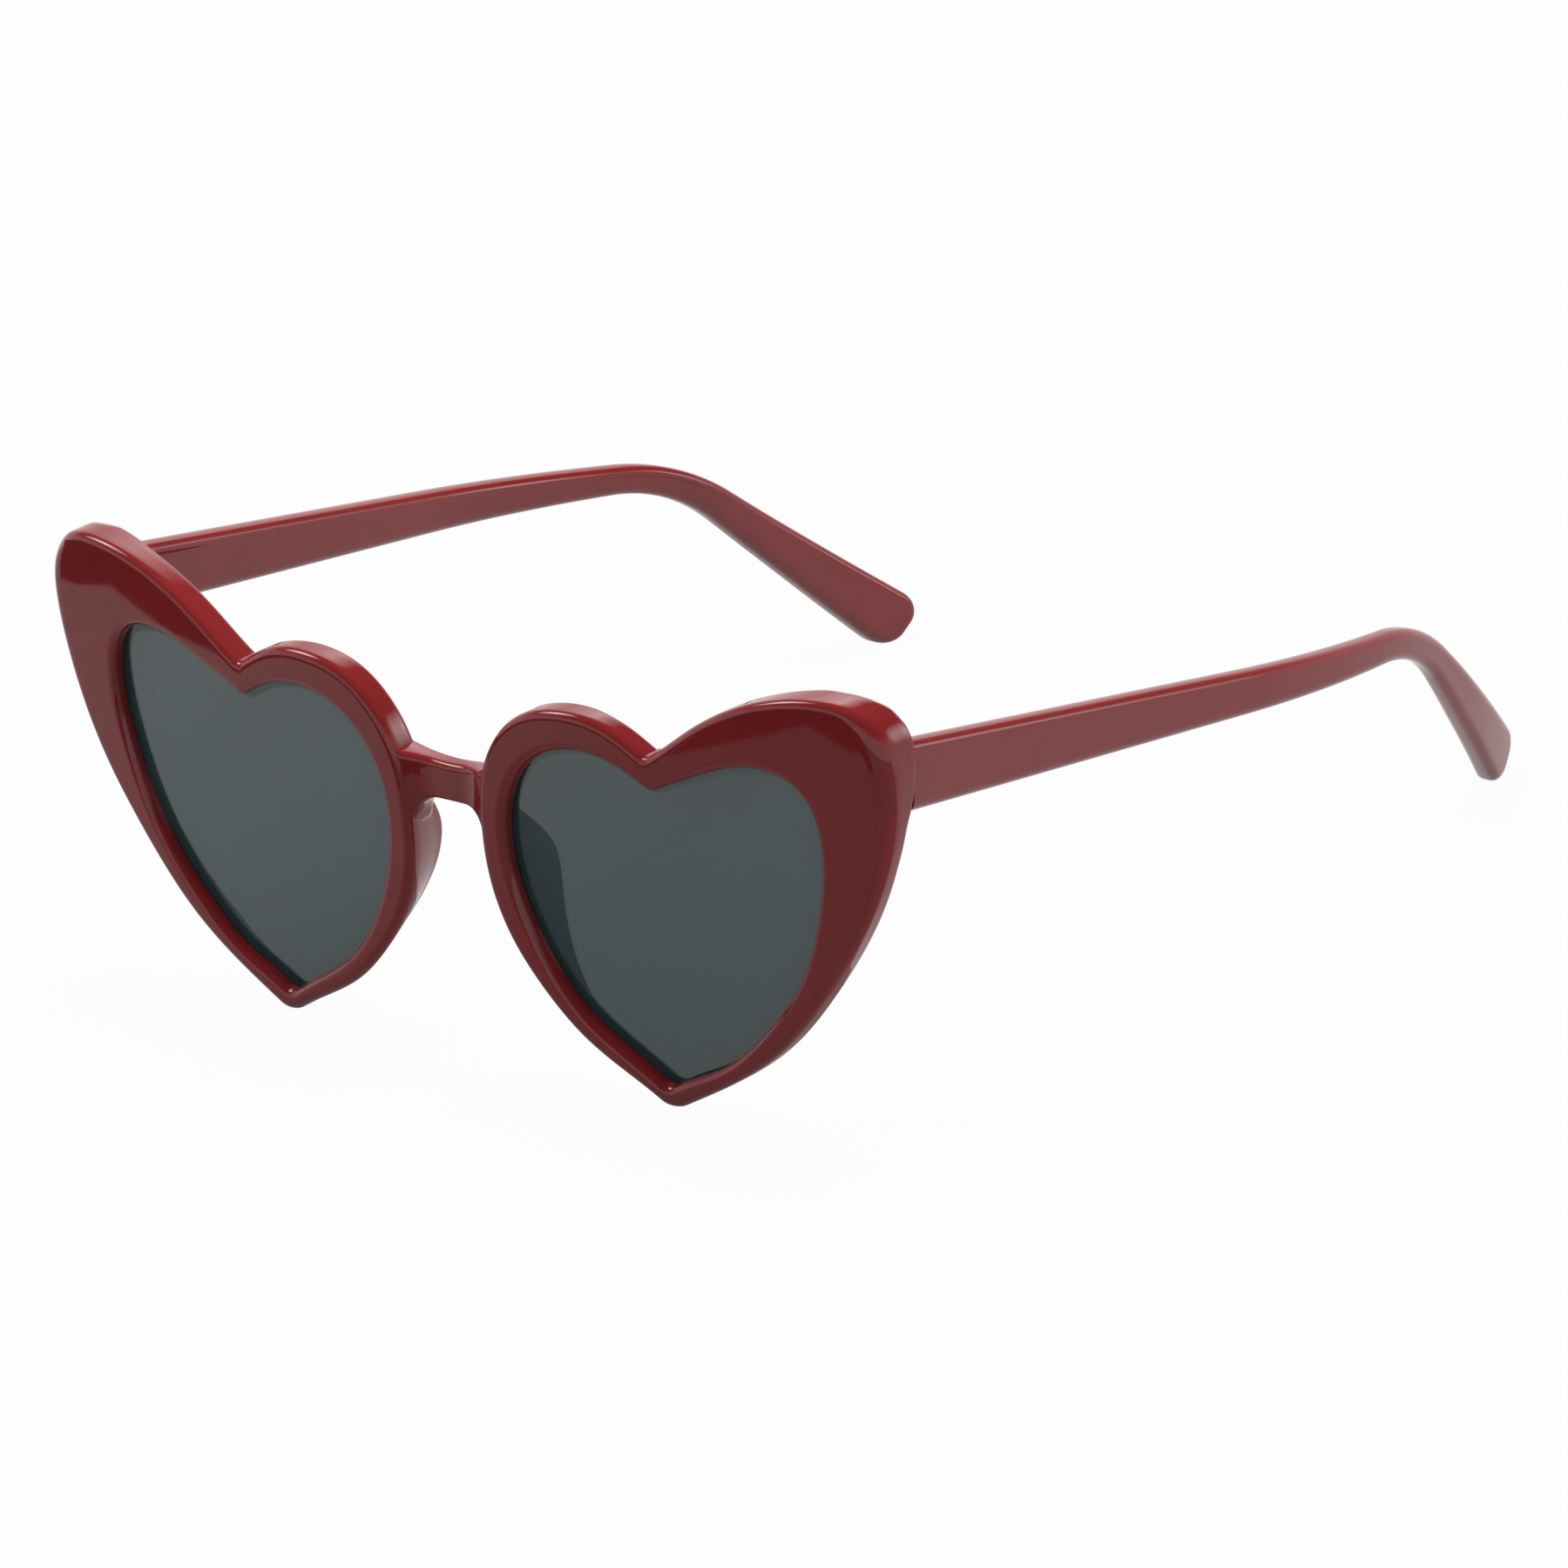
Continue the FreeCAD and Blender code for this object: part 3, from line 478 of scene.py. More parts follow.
def bend_tree(name, inputs, rule):
    """A tree that moves each point by a rule, then hands on a real mesh with its material."""
    tree = bpy.data.node_groups.new(name, "GeometryNodeTree")
    tree.interface.new_socket("Geometry", in_out="INPUT", socket_type="NodeSocketGeometry")
    for label, value in inputs.items():
        socket = tree.interface.new_socket(label, in_out="INPUT", socket_type="NodeSocketFloat")
        socket.default_value = value
    tree.interface.new_socket("Finish", in_out="INPUT", socket_type="NodeSocketMaterial")
    tree.interface.new_socket("Geometry", in_out="OUTPUT", socket_type="NodeSocketGeometry")
    wire = Wire(tree)
    entry = tree.nodes.new("NodeGroupInput")
    ports = {port.name: Wire(tree, port) for port in entry.outputs}
    spot = wire.node("GeometryNodeInputPosition")
    parts = [wire.node("ShaderNodeSeparateXYZ", None, {"Vector": spot}, axis) for axis in "XYZ"]
    moved = wire.node("ShaderNodeCombineXYZ", None, dict(zip("XYZ", rule(wire, ports, *parts))))
    bent = wire.node("GeometryNodeSetPosition", None, {"Geometry": ports["Geometry"], "Position": moved})
    real = wire.node("GeometryNodeRealizeInstances", None, {"Geometry": bent})
    done = wire.node("GeometryNodeSetMaterial", None, {"Geometry": real, "Material": ports["Finish"]})
    leave = tree.nodes.new("NodeGroupOutput")
    tree.links.new(done.socket, leave.inputs[0])
    return tree


def bent_by(tree, mesh, name, values):
    """Pass a mesh through a node tree and keep the plain result."""
    item = new_object(name, mesh)
    modifier = item.modifiers.new("bend", "NODES")
    modifier.node_group = tree
    for socket in tree.interface.items_tree:
        if socket.in_out == "INPUT" and socket.name in values:
            modifier[socket.identifier] = values[socket.name]
    result = evaluated(item, name)
    bpy.data.objects.remove(item)
    return result


def base_curve_rule(wire, ports, across, depth, height):
    radius = ports["Radius"]
    flat = wire.math("SQRT", radius * radius - across * across)
    return across, depth + (radius - flat) + ports["Front"], height


BASE_BEND = bend_tree("base_curve_bend", {"Radius": BASE_CURVE * MM, "Front": FRONT_Y * MM},
                      base_curve_rule)
print("made", BASE_BEND.name)

# %% [markdown]
# ## The rim of a heart
# One section runs around each heart: a rounded front edge, a flat face, a rounded lip into the
# opening, a groove that holds the lens, and a back. On the nose side the back of the section grows
# into the nose pad, which leans away from the nose; at the outer corner it grows into the end piece
# that meets the temple. Letting the section grow, where it is needed, keeps the moulding one
# surface with no seams, just as it leaves the mould.

# %% Where the section grows
EDGE_ROUND, CORNER_ROUND, LIP_ROUND, BACK_ROUND = 1.15, 2.3, 1.2, 0.9
PAD_REACH, PAD_LOW, PAD_MIDDLE, PAD_HIGH = 8.6, 6.5, 27.0, 36.3
NASAL_DRAFT, LOW_DRAFT = 0.28, 0.38
END_TAPER, END_WEB, TOP_EXTRA = 12.0, 24.0, 0.55
PLAIN_FOOT, TOP_FOOT, PAD_FOOT, END_FOOT = 3.0, 5.0, 3.4, 3.9
PAD_CREST, END_CREST = 3.1, 3.6
END_RISE, END_FADE, TOP_SOFT = 34.5, 6.0, 0.3
slope = math.radians(TEMPLE_SLOPE)


def ease(value):
    value = np.clip(value, 0, 1)
    return value * value * (3 - 2 * value)


def joint_spot(up_along):
    """Depth and height on the joint's plane, which stands square to the sloping temple."""
    return JOINT_DEPTH + up_along * math.sin(slope), TEMPLE_LEVEL + up_along * math.cos(slope)


high_depth, high_level = joint_spot(ROOT_HEIGHT / 2 + JOINT_GAP)
low_depth, low_level = joint_spot(-ROOT_HEIGHT / 2)
rim_middle = float(sag(TEMPLE_INNER)) + RIM_DEPTH / 2
rim_back = float(sag(TEMPLE_OUTER)) + RIM_DEPTH


def end_reach(flat):
    """How far the end piece reaches behind the rim at places of the flat drawing."""
    crest = [HEART_HEIGHT - down for down in (3.6, 1.8, 0.6, 0)]
    levels = [low_level - END_TAPER, low_level, high_level, *crest]
    depths = [rim_middle, low_depth, high_depth,
              high_depth + 0.3, high_depth - 0.1, rim_back + 0.9, rim_back - 0.1]
    side = np.interp(flat[:, 1], levels, depths)
    web = np.interp(flat[:, 0], [TEMPLE_INNER - END_WEB, TEMPLE_INNER], [rim_middle - 1.6, high_depth])
    web = np.where(flat[:, 0] > TEMPLE_INNER, side, web)
    past = np.minimum(side, web) - sag(flat[:, 0]) - RIM_DEPTH
    return (past + np.sqrt(past ** 2 + 0.06)) / 2


station = np.arange(len(outer))
nasal_side = (station > 2) & (station < TIP_POINTS + NASAL_POINTS)
rise = outer[:, 1]
pad_top = np.clip((PAD_HIGH - rise) / (PAD_HIGH - PAD_MIDDLE), 0, 1)
pad_share = np.where(rise < PAD_MIDDLE, ease((rise - PAD_LOW) / (PAD_MIDDLE - PAD_LOW)),
                     np.sin(math.pi / 2 * pad_top)) * nasal_side
draft_share = ease((rise - 3.0) / 9.0) * ease((41.0 - rise) / 6.0) * nasal_side
draft = LOW_DRAFT + (NASAL_DRAFT - LOW_DRAFT) * ease((rise - 10.0) / 14.0)
web_share = ease((outer[:, 0] - TEMPLE_INNER + END_WEB) / 4.0)
return_share = ease(end_reach(outer) / 1.2) * ~nasal_side * web_share
top_share = ease((outer_out[:, 1] + 0.55) / 0.6) * ease((rise - 36.0) / 5.0)
top_share = top_share * np.where(nasal_side, ease((0.3 - outer_out[:, 0]) / 0.4), 1.0)
corner_soft = ease((outer_out[:, 0] - 0.1) / 0.8) * ease((rise - 24.0) / 22.0) * ~nasal_side
edge_round = EDGE_ROUND + (CORNER_ROUND - EDGE_ROUND) * corner_soft
lip_bulge = 0.5 * ease((opening_out[:, 1] + 0.85) / np.where(nasal_side, 0.5, 1.2)) - 0.05
print("pad on", int((pad_share > 0).sum()), "stations, end piece on", int((return_share > 0.02).sum()))

# %% [markdown]
# ## Rings of the rim
# The section is written as rings that run around the heart, each at its own inset and depth: the
# rounded front edge, the face, the lip, the groove, and the back with its pad and end piece. Joined
# in order they close into a tube. A bevel could round the edges too, but rings let every station
# around the heart have its own roundness and depth.

# %% Rim section
width = np.linalg.norm(outer - opening, axis=1)


def at(loop, ways, offset):
    """Loop points moved along their directions by an offset, one for each station or for all."""
    return loop + ways * np.broadcast_to(np.asarray(offset, float), len(loop))[:, None]


def layer(flat, depth):
    """One ring of the section around the heart: flat places with their depth."""
    return np.column_stack([flat[:, 0], np.broadcast_to(depth, len(flat)), flat[:, 1]])


def rim_layers():
    layers = []
    quarter = np.radians(np.linspace(0, 90, 8))
    for angle in quarter:
        inset = edge_round * (1 - math.cos(angle))
        layers.append(layer(at(outer, -outer_out, inset), edge_round * (1 - math.sin(angle))))
    face_out = at(outer, -outer_out, edge_round)
    face_in = at(opening, opening_out, LIP_ROUND - lip_bulge)
    for share in (0.05, 0.2, 0.4, 0.6, 0.8, 0.95):
        layers.append(layer(face_out + (face_in - face_out) * share, 0.0))
    for angle in quarter[::-1]:
        outset = LIP_ROUND * (1 - math.cos(angle)) - lip_bulge
        layers.append(layer(at(opening, opening_out, outset), LIP_ROUND * (1 - math.sin(angle))))
    groove_end = LENS_SETBACK + LENS_THICKNESS
    groove = ((0.05 - lip_bulge, LENS_SETBACK), (LENS_BITE, LENS_SETBACK),
              (LENS_BITE, groove_end), (0, groove_end))
    for offset, depth in groove:
        layers.append(layer(at(opening, opening_out, offset), depth))
    back_in = at(opening, opening_out, 0.15)
    layers.append(layer(back_in, RIM_DEPTH))
    return layers + back_layers(back_in, quarter)


def back_layers(back_in, quarter):
    """The back of the section, with the nose pad and the end piece grown out of it."""
    plain = 1 - np.maximum(pad_share, return_share)
    corner_share = np.where(outer_out[:, 1] < 0, ease((rise - END_RISE) / END_FADE), ease(return_share * 4))
    seat_share = return_share * ease((high_level + 3.0 - rise) / 3.0) * ease((outer[:, 0] - 66.0) / 4.0)
    back_round = BACK_ROUND * (1 - seat_share) * (1 - 0.1 * pad_share) + 0.3 * seat_share
    pad_only = pad_share * (1 - return_share)
    narrow, wide = np.minimum(0.72 * width, PLAIN_FOOT), np.minimum(0.92 * width, TOP_FOOT)
    plain_root = narrow * (1 - top_share) + wide * top_share
    root = plain_root * plain + np.minimum(0.94 * width, PAD_FOOT) * pad_only + END_FOOT * return_share
    top = root * 0.72 * plain + PAD_CREST * pad_only + END_CREST * return_share
    top = np.maximum(top, back_round * 1.15)

    def end_depth(flat):
        grown = np.where(nasal_side, (PAD_REACH - RIM_DEPTH) * pad_share, end_reach(flat) * corner_share)
        least, softness = TOP_EXTRA * top_share, TOP_SOFT * top_share
        past = grown - least
        return RIM_DEPTH + least + (past + np.sqrt(past ** 2 + softness ** 2)) / 2

    lean = draft * draft_share * (end_depth(outer) - edge_round)
    layers = []
    foot = at(outer, -outer_out, root + lean * 0.35 * plain)
    for share in (0.35, 0.7, 0.92, 1.0):
        layers.append(layer(back_in + (foot - back_in) * share, RIM_DEPTH))
    shoulder = at(outer, -outer_out, top + lean)
    layers.append(layer(foot + (shoulder - foot) * 0.5, RIM_DEPTH + (end_depth(foot) - RIM_DEPTH) * 0.5))
    soft = np.minimum(0.5, 0.25 * (end_depth(shoulder) - RIM_DEPTH))
    layers.append(layer(shoulder, end_depth(shoulder) - soft))
    inner_end = at(outer, -outer_out, top * 0.85 + back_round * 0.15 + lean)
    layers.append(layer(inner_end, end_depth(inner_end)))
    for angle in quarter[::-1]:
        flat = at(outer, -outer_out, lean + back_round * (1 - math.cos(angle)))
        layers.append(layer(flat, end_depth(flat) - back_round * (1 - math.sin(angle))))
    wall_end = np.maximum(end_depth(outer) - back_round, edge_round + 0.1)
    for share in (0.75, 0.5, 0.25):
        flat = at(outer, -outer_out, lean * share ** 1.15)
        layers.append(layer(flat, edge_round + (wall_end - edge_round) * share))
    return layers


rim_rings = rim_layers()
rim_mesh = solid_mesh("rim_flat", np.array(rim_rings), join_rings(rim_rings, True))
print("rim:", len(rim_mesh.vertices), "points,", len(rim_mesh.polygons), "faces")

# %% [markdown]
# ## The bridge
# The bridge is a short bar, set a little back behind the faces of the hearts. Its top dips in the
# middle, its underside swells in a fillet where it meets a rim, and its front is scooped: it comes
# forward towards the rims, which catches a soft upright reflection. It is a loft of rounded sections
# across the nose.

# %% Bridge
BRIDGE_END, BRIDGE_FRONT, BRIDGE_BACK = 8.8, 1.7, 4.8
BRIDGE_LOW, BRIDGE_TOP, BRIDGE_DIP = 35.1, 41.5, 1.1
FILLET, SCOOP = 4.0, 1.2


def fillet(across):
    """How far a fillet has swollen near the wall of a rim."""
    near = np.clip(FILLET - (HEART_LEFT + 0.1 - abs(across)), 0, FILLET)
    return FILLET - math.sqrt(FILLET ** 2 - near ** 2)


def rounded_section(front, rear, low, high, corner, steps):
    """A rectangle in depth and height with round corners."""
    points = []
    centres = ((rear - corner, high - corner, 0), (front + corner, high - corner, 90),
               (front + corner, low + corner, 180), (rear - corner, low + corner, 270))
    for centre_y, centre_z, start in centres:
        for angle in np.radians(np.linspace(start, start + 90, steps)):
            points.append((centre_y + corner * math.cos(angle), centre_z + corner * math.sin(angle)))
    return points


def bridge_mesh():
    rings = []
    for across in np.linspace(-BRIDGE_END, BRIDGE_END, 89):
        swell = fillet(across)
        arc = (across / BRIDGE_END) ** 2
        low = BRIDGE_LOW - 0.4 * arc - swell
        high = BRIDGE_TOP - BRIDGE_DIP * (1 - arc)
        scoop = SCOOP * np.clip((abs(across) - 2.2) / 4.7, 0, 1) ** 2
        section = rounded_section(BRIDGE_FRONT - scoop, BRIDGE_BACK, low, high, 0.9, 6)
        rings.append([(across, y, z) for y, z in section])
    return tube_mesh("bridge_flat", rings)


bridge = bridge_mesh()
print("bridge:", len(bridge.polygons), "faces")

# %% [markdown]
# ## Hinge bosses
# Behind each outer corner a low block of plastic holds the metal hinge leaf, which is pressed into a
# pocket. The block is a short stack of rounded rectangles. The pocket is a box a little larger than
# the leaf, and it is cut out after the bend, so that it fits the leaf where the solids have it.

# %% Hinge boss
hinge_low, hinge_high = (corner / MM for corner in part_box("left_front_hinge_leaf"))
BOSS_WALL, LEAF_BACK, POCKET_GAP = 0.8, 1.65, 0.05


def hinge_boss_mesh():
    """A low block behind the corner that holds the hinge leaf."""
    back_depth = JOINT_DEPTH - LEAF_BACK
    x0, x1 = hinge_low.x - BOSS_WALL, TEMPLE_INNER + BOSS_WALL
    z0, z1 = hinge_low.z - BOSS_WALL, hinge_high.z + BOSS_WALL
    front_depth = back_depth - 2.7
    rings = []
    steps = ((front_depth, 0.0), (back_depth - 0.3, 0.0), (back_depth - 0.09, 0.09), (back_depth, 0.3))
    for depth, shrink in steps:
        ring = []
        for x, z in rounded_section(x0 + shrink, x1 - shrink, z0 + shrink, z1 - shrink, 0.6, 4):
            ring.append((x, depth - float(sag(x)), z))
        rings.append(ring)
    return tube_mesh("hinge_boss_flat", rings)


def box_mesh(name, low, high):
    """A plain closed box between two corners."""
    spans = list(zip(low, high))
    points = [(x, y, z) for z in spans[2] for y in spans[1] for x in spans[0]]
    sides = [(0, 1, 3, 2), (4, 5, 7, 6), (0, 1, 5, 4), (2, 3, 7, 6), (0, 2, 6, 4), (1, 3, 7, 5)]
    return solid_mesh(name, np.array(points), sides)


boss = hinge_boss_mesh()
pocket = box_mesh("leaf_pocket", [value - POCKET_GAP for value in hinge_low],
                  [value + POCKET_GAP for value in hinge_high])
print("boss:", len(boss.polygons), "faces, with a pocket for the leaf")

# %% [markdown]
# ## One moulding
# The two rims, the bridge and the bosses are fused, so that the front is a single closed skin with
# nothing hidden inside, then bent to the base curve by the rule above. Smooth shading with sharp
# corners finishes it; on the back the shallow corners are shaded smoothly too, because a mould
# has its inner corners rounded.

# %% Moulded front


def combined(name, meshes, operation):
    """The first closed mesh joined with the others, or with the others cut out of it."""
    item = new_object(name, meshes[0])
    helpers = []
    for number, mesh in enumerate(meshes[1:]):
        helper = new_object(f"{name}_{number}", mesh)
        helpers.append(helper)
        modifier = item.modifiers.new(helper.name, "BOOLEAN")
        modifier.operation = operation
        modifier.solver = "EXACT"
        modifier.object = helper
    result = evaluated(item, name)
    for used in (item, *helpers):
        bpy.data.objects.remove(used)
    return result


def soften_back(mesh, degrees):
    """Shade shallow corners on the back of the moulding smoothly, as a polished mould leaves them."""
    shape = bmesh.new()
    shape.from_mesh(mesh)
    for edge in shape.edges:
        middle = (edge.verts[0].co + edge.verts[1].co) / (2 * MM)
        depth = middle.y - FRONT_Y - float(sag(middle.x))
        shallow = len(edge.link_faces) == 2 and edge.calc_face_angle() < math.radians(degrees)
        if shallow and depth > RIM_DEPTH - 0.05:
            edge.smooth = True
    shape.to_mesh(mesh)
    shape.free()


flat_front = combined("front_flat", [rim_mesh, mirrored_mesh(rim_mesh, "other_rim_flat"), bridge, boss,
                                     mirrored_mesh(boss, "other_boss_flat")], "UNION")
bent_front = bent_by(BASE_BEND, flat_front, "front_bent", {"Finish": PLASTIC})
pockets = [pocket, mirrored_mesh(pocket, "other_pocket")]
front_mesh = combined("moulded_front", [bent_front, *pockets], "DIFFERENCE")
smooth(front_mesh, 38)
soften_back(front_mesh, 80)
moulded_front = new_object("moulded_front", front_mesh)
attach(moulded_front, "front")
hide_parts("front_frame")
open_edges = sum(1 for edge in front_mesh.edges if edge.is_loose)
print("front:", len(front_mesh.polygons), "faces,", open_edges, "loose edges")

# %% [markdown]
# ## Lenses
# A lens is a sheet of even thickness, cut to the opening with a small edge that sits in the groove,
# and bent by the same base curve. Rings shrink from the outline towards the middle, so its faces
# stay even and its gloss has no kinks.

# %% Lens sheets
BEVEL = 0.06


def lens_mesh():
    edge = at(opening, opening_out, LENS_BITE - LENS_CLEARANCE)
    bevel_out, bevel_in = at(opening, opening_out, -0.75), at(opening, opening_out, -1.0)
    middle = np.array([opening[:, 0].mean(), HEART_HEIGHT * 0.47])
    shares = [1.0, 0.97, 0.9, 0.78, 0.64, 0.48, 0.33, 0.18, 0.05]
    front_depth = LENS_SETBACK + LENS_CLEARANCE
    back_depth = LENS_SETBACK + LENS_THICKNESS - LENS_CLEARANCE
    rings = [layer(middle + (bevel_in - middle) * share, front_depth) for share in shares[::-1]]
    rings += [layer(bevel_out, front_depth + BEVEL), layer(edge, front_depth + BEVEL),
              layer(edge, back_depth)]
    rings += [layer(middle + (bevel_in - middle) * share, back_depth) for share in shares]
    return tube_mesh("lens_flat", rings)


lens_flat = lens_mesh()
lens_pair = (("left_lens", lens_flat), ("right_lens", mirrored_mesh(lens_flat, "other_lens_flat")))
for node, flat in lens_pair:
    sheet_mesh = bent_by(BASE_BEND, flat, f"{node}_sheet", {"Finish": TINT})
    smooth(sheet_mesh, 40)
    sheet = new_object(f"{node}_sheet", sheet_mesh)
    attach(sheet, "front")
    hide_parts(node)
    print(sheet.name, len(sheet_mesh.polygons), "faces")

# %% [markdown]
# ## Temples
# A temple is a flat arm, tall at the hinge, slim at the bend over the ear and wide again at its
# paddle tip. Seen from the side, its outline is straight lines with round corners. Here it is an
# upper and a lower line of matching points, and the drop behind the bend is made just long enough
# for the tip to stand on the ground.

# %% Temple side outline
BEND_HEIGHT, TIP_HEIGHT, TEMPLE_RUN, DROP_ANGLE = 3.7, 7.8, 104.0, 46.6
BEND_TOP_ROUND, BEND_LOW_ROUND, TIP_BACK_ROUND, TIP_LOW_ROUND = 31.0, 24.0, 3.1, 3.1
TEMPLE_EDGE, TIP_FLARE = 1.3, 0.35


def corner_points(corner, before, after, radius, count):
    """A round corner between two directions that leave it."""
    before, after = (way / np.linalg.norm(way) for way in (before, after))
    half = math.acos(np.clip(before @ after, -1, 1)) / 2
    middle = corner + (before + after) / np.linalg.norm(before + after) * (radius / math.sin(half))
    start = corner + before * radius / math.tan(half) - middle
    end = corner + after * radius / math.tan(half) - middle
    angle = math.acos(np.clip(start @ end / radius ** 2, -1, 1))

    def on_arc(share):
        return (start * math.sin((1 - share) * angle) + end * math.sin(share * angle)) / math.sin(angle)

    return [middle + on_arc(share) for share in np.linspace(0, 1, count)]


def temple_corners(drop):
    steep = math.radians(DROP_ANGLE)
    run_up, drop_up = (np.array([math.sin(angle), math.cos(angle)]) for angle in (slope, steep))
    root = np.array([JOINT_DEPTH + JOINT_GAP, TEMPLE_LEVEL])
    bend = root + np.array([math.cos(slope), -math.sin(slope)]) * TEMPLE_RUN
    tip = bend + np.array([math.cos(steep), -math.sin(steep)]) * drop
    lift = run_up * ROOT_HEIGHT / 2
    half = (run_up + drop_up) / np.linalg.norm(run_up + drop_up) * BEND_HEIGHT / 2
    wide = drop_up * TIP_HEIGHT / 2
    low = tip - wide - drop_up * TIP_FLARE
    return [root + lift, bend + half, tip + wide, low, bend - half, root - lift]


def temple_lines(drop):
    """The upper and the lower side of the outline, from the hinge to the middle of the tip."""
    top_root, top_bend, tip_back, tip_low, low_bend, low_root = temple_corners(drop)
    upper = [top_root,
             *corner_points(top_bend, top_root - top_bend, tip_back - top_bend, BEND_TOP_ROUND, 24),
             *corner_points(tip_back, top_bend - tip_back, tip_low - tip_back, TIP_BACK_ROUND, 16)]
    lower = [low_root,
             *corner_points(low_bend, low_root - low_bend, tip_low - low_bend, BEND_LOW_ROUND, 24),
             *corner_points(tip_low, low_bend - tip_low, tip_back - tip_low, TIP_LOW_ROUND, 16)]
    return np.array(upper), np.array(lower)


def stand_drop():
    """The length behind the bend that makes the tip touch the ground."""
    drop = 40.0
    for _ in range(12):
        upper, lower = temple_lines(drop)
        drop += min(upper[:, 1].min(), lower[:, 1].min()) / math.sin(math.radians(DROP_ANGLE))
    return drop


DROP = stand_drop()
upper_line, lower_line = temple_lines(DROP)
print("temple outline reaches from", upper_line[0].round(1), "to", upper_line[-1].round(1))

# %% [markdown]
# ## The temple as a flat blank
# A temple starts as a flat blank with rounded edges. Rings step in from the outline to round each
# edge, and strips between the upper and the lower line fill the two sides. So the faces stay long
# and even, and the gloss runs along the arm.

# %% Temple blank


def densified(line):
    """Straight stretches of a line divided so that no step is long."""
    points = [line[0]]
    for start, end in zip(line[:-1], line[1:]):
        steps = max(1, int(math.ceil(np.linalg.norm(end - start) / 2.2)))
        points += [start + (end - start) * share for share in np.linspace(0, 1, steps + 1)[1:]]
    return np.array(points)


def same_count(first, second):
    """Two lines resampled to the same number of points, keeping their dense round ends."""
    count = max(len(first), len(second))
    wanted = np.linspace(0, 1, count)
    lines = []
    for line in (first, second):
        travelled = np.arange(len(line)) / (len(line) - 1)
        lines.append(np.stack([np.interp(wanted, travelled, line[:, axis]) for axis in (0, 1)], axis=1))
    return lines


def temple_blank():
    upper, lower = same_count(densified(upper_line), densified(lower_line))
    loop = np.vstack([upper, lower[::-1]])
    away = outward(loop)
    away[0] = (math.sin(slope), math.cos(slope))
    away[-1] = -away[0]
    half = TEMPLE_THICKNESS / 2
    centre = (TEMPLE_OUTER + TEMPLE_INNER) / 2
    count = len(upper)
    rings = []
    quarter = np.radians(np.linspace(0, 90, 6))
    for side in (1, -1):
        for angle in quarter if side == -1 else quarter[::-1]:
            flat = loop - away * (TEMPLE_EDGE * (1 - math.cos(angle)))
            out = side * (half - TEMPLE_EDGE * (1 - math.sin(angle)))
            rings.append(np.column_stack([np.full(len(flat), centre + out), flat[:, 0], flat[:, 1]]))
    around = len(loop)
    points = list(np.vstack(rings))
    faces = join_rings(rings, False)
    for ring in (0, len(rings) - 1):
        base = ring * around
        strips = [[base + index for index in range(count)]]
        for share in (0.12, 0.35, 0.65, 0.88):
            strip = []
            for index in range(count):
                strip.append(len(points))
                high, low = points[base + index], points[base + around - 1 - index]
                points.append(high * (1 - share) + low * share)
            strips.append(strip)
        strips.append([base + around - 1 - index for index in range(count)])
        for one, two in zip(strips[:-1], strips[1:]):
            for index in range(count - 1):
                faces.append((one[index], one[index + 1], two[index + 1], two[index]))
    return solid_mesh("temple_flat", np.array(points), faces)


temple_flat = temple_blank()
print("temple blank:", len(temple_flat.polygons), "faces")

# %% [markdown]
# ## The temple's bend towards the head
# Seen from above, a temple runs straight back and then curves in behind the ear on one arc. That is
# again a rule for every point, so it is a second small tree: points behind the start of the curve
# are carried round a circle. The drop also twists a little, its lower edge towards the head, as tips
# are set to lie along the skull.

# %% Temple bend and pieces
CURVE_START, CURVE_RADIUS, TIP_TWIST = 61.5, 137.0, 0.21


def temple_rule(wire, ports, across, depth, height):
    """Behind the start a point swings in along an arc; behind the bend it also twists a little."""
    past = wire.math("MAXIMUM", depth - ports["Start"], 0.0)
    side = wire.math("SIGN", across)
    reach = wire.math("ABSOLUTE", across) - ports["Middle"] + ports["Radius"]
    swung = wire.math("SQRT", reach * reach - past * past)
    share = (depth - ports["Bend"]) / ports["Half drop"]
    share = wire.math("MINIMUM", wire.math("MAXIMUM", share, 0.0), 1.0)
    steep = math.radians(DROP_ANGLE)
    behind, above = depth - ports["Tip depth"], height - ports["Tip height"]
    off_line = behind * math.sin(steep) + above * math.cos(steep)
    twist = share * share * (3.0 - share * 2.0) * off_line * ports["Twist"]
    return side * (ports["Middle"] - ports["Radius"] + swung + twist), depth + ports["Front"], height


_, top_bend, tip_back, tip_low, low_bend, _ = temple_corners(DROP)
bend_spot, tip_spot = (top_bend + low_bend) / 2, (tip_back + tip_low) / 2
TEMPLE_BEND = bend_tree("temple_bend", {
    "Start": (JOINT_DEPTH + JOINT_GAP + CURVE_START) * MM, "Radius": CURVE_RADIUS * MM,
    "Middle": (TEMPLE_OUTER + TEMPLE_INNER) / 2 * MM, "Front": FRONT_Y * MM, "Twist": TIP_TWIST,
    "Bend": bend_spot[0] * MM, "Half drop": (tip_spot[0] - bend_spot[0]) / 2 * MM,
    "Tip depth": tip_spot[0] * MM, "Tip height": tip_spot[1] * MM}, temple_rule)
temple_pair = (("left_temple", temple_flat), ("right_temple", mirrored_mesh(temple_flat, "other_temple_flat")))
for node, flat in temple_pair:
    arm_mesh = bent_by(TEMPLE_BEND, flat, f"{node}_arm", {"Finish": PLASTIC})
    smooth(arm_mesh, 38)
    arm = new_object(f"{node}_arm", arm_mesh)
    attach(arm, node)
    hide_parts(node)
    print(arm.name, len(arm_mesh.polygons), "faces")

# %% [markdown]
# ## Hinge leaves
# The hinge leaves are right as they come from the solids: flat plates with knuckles that take turns
# on the pin. They keep their shapes and only get the tumbled metal.

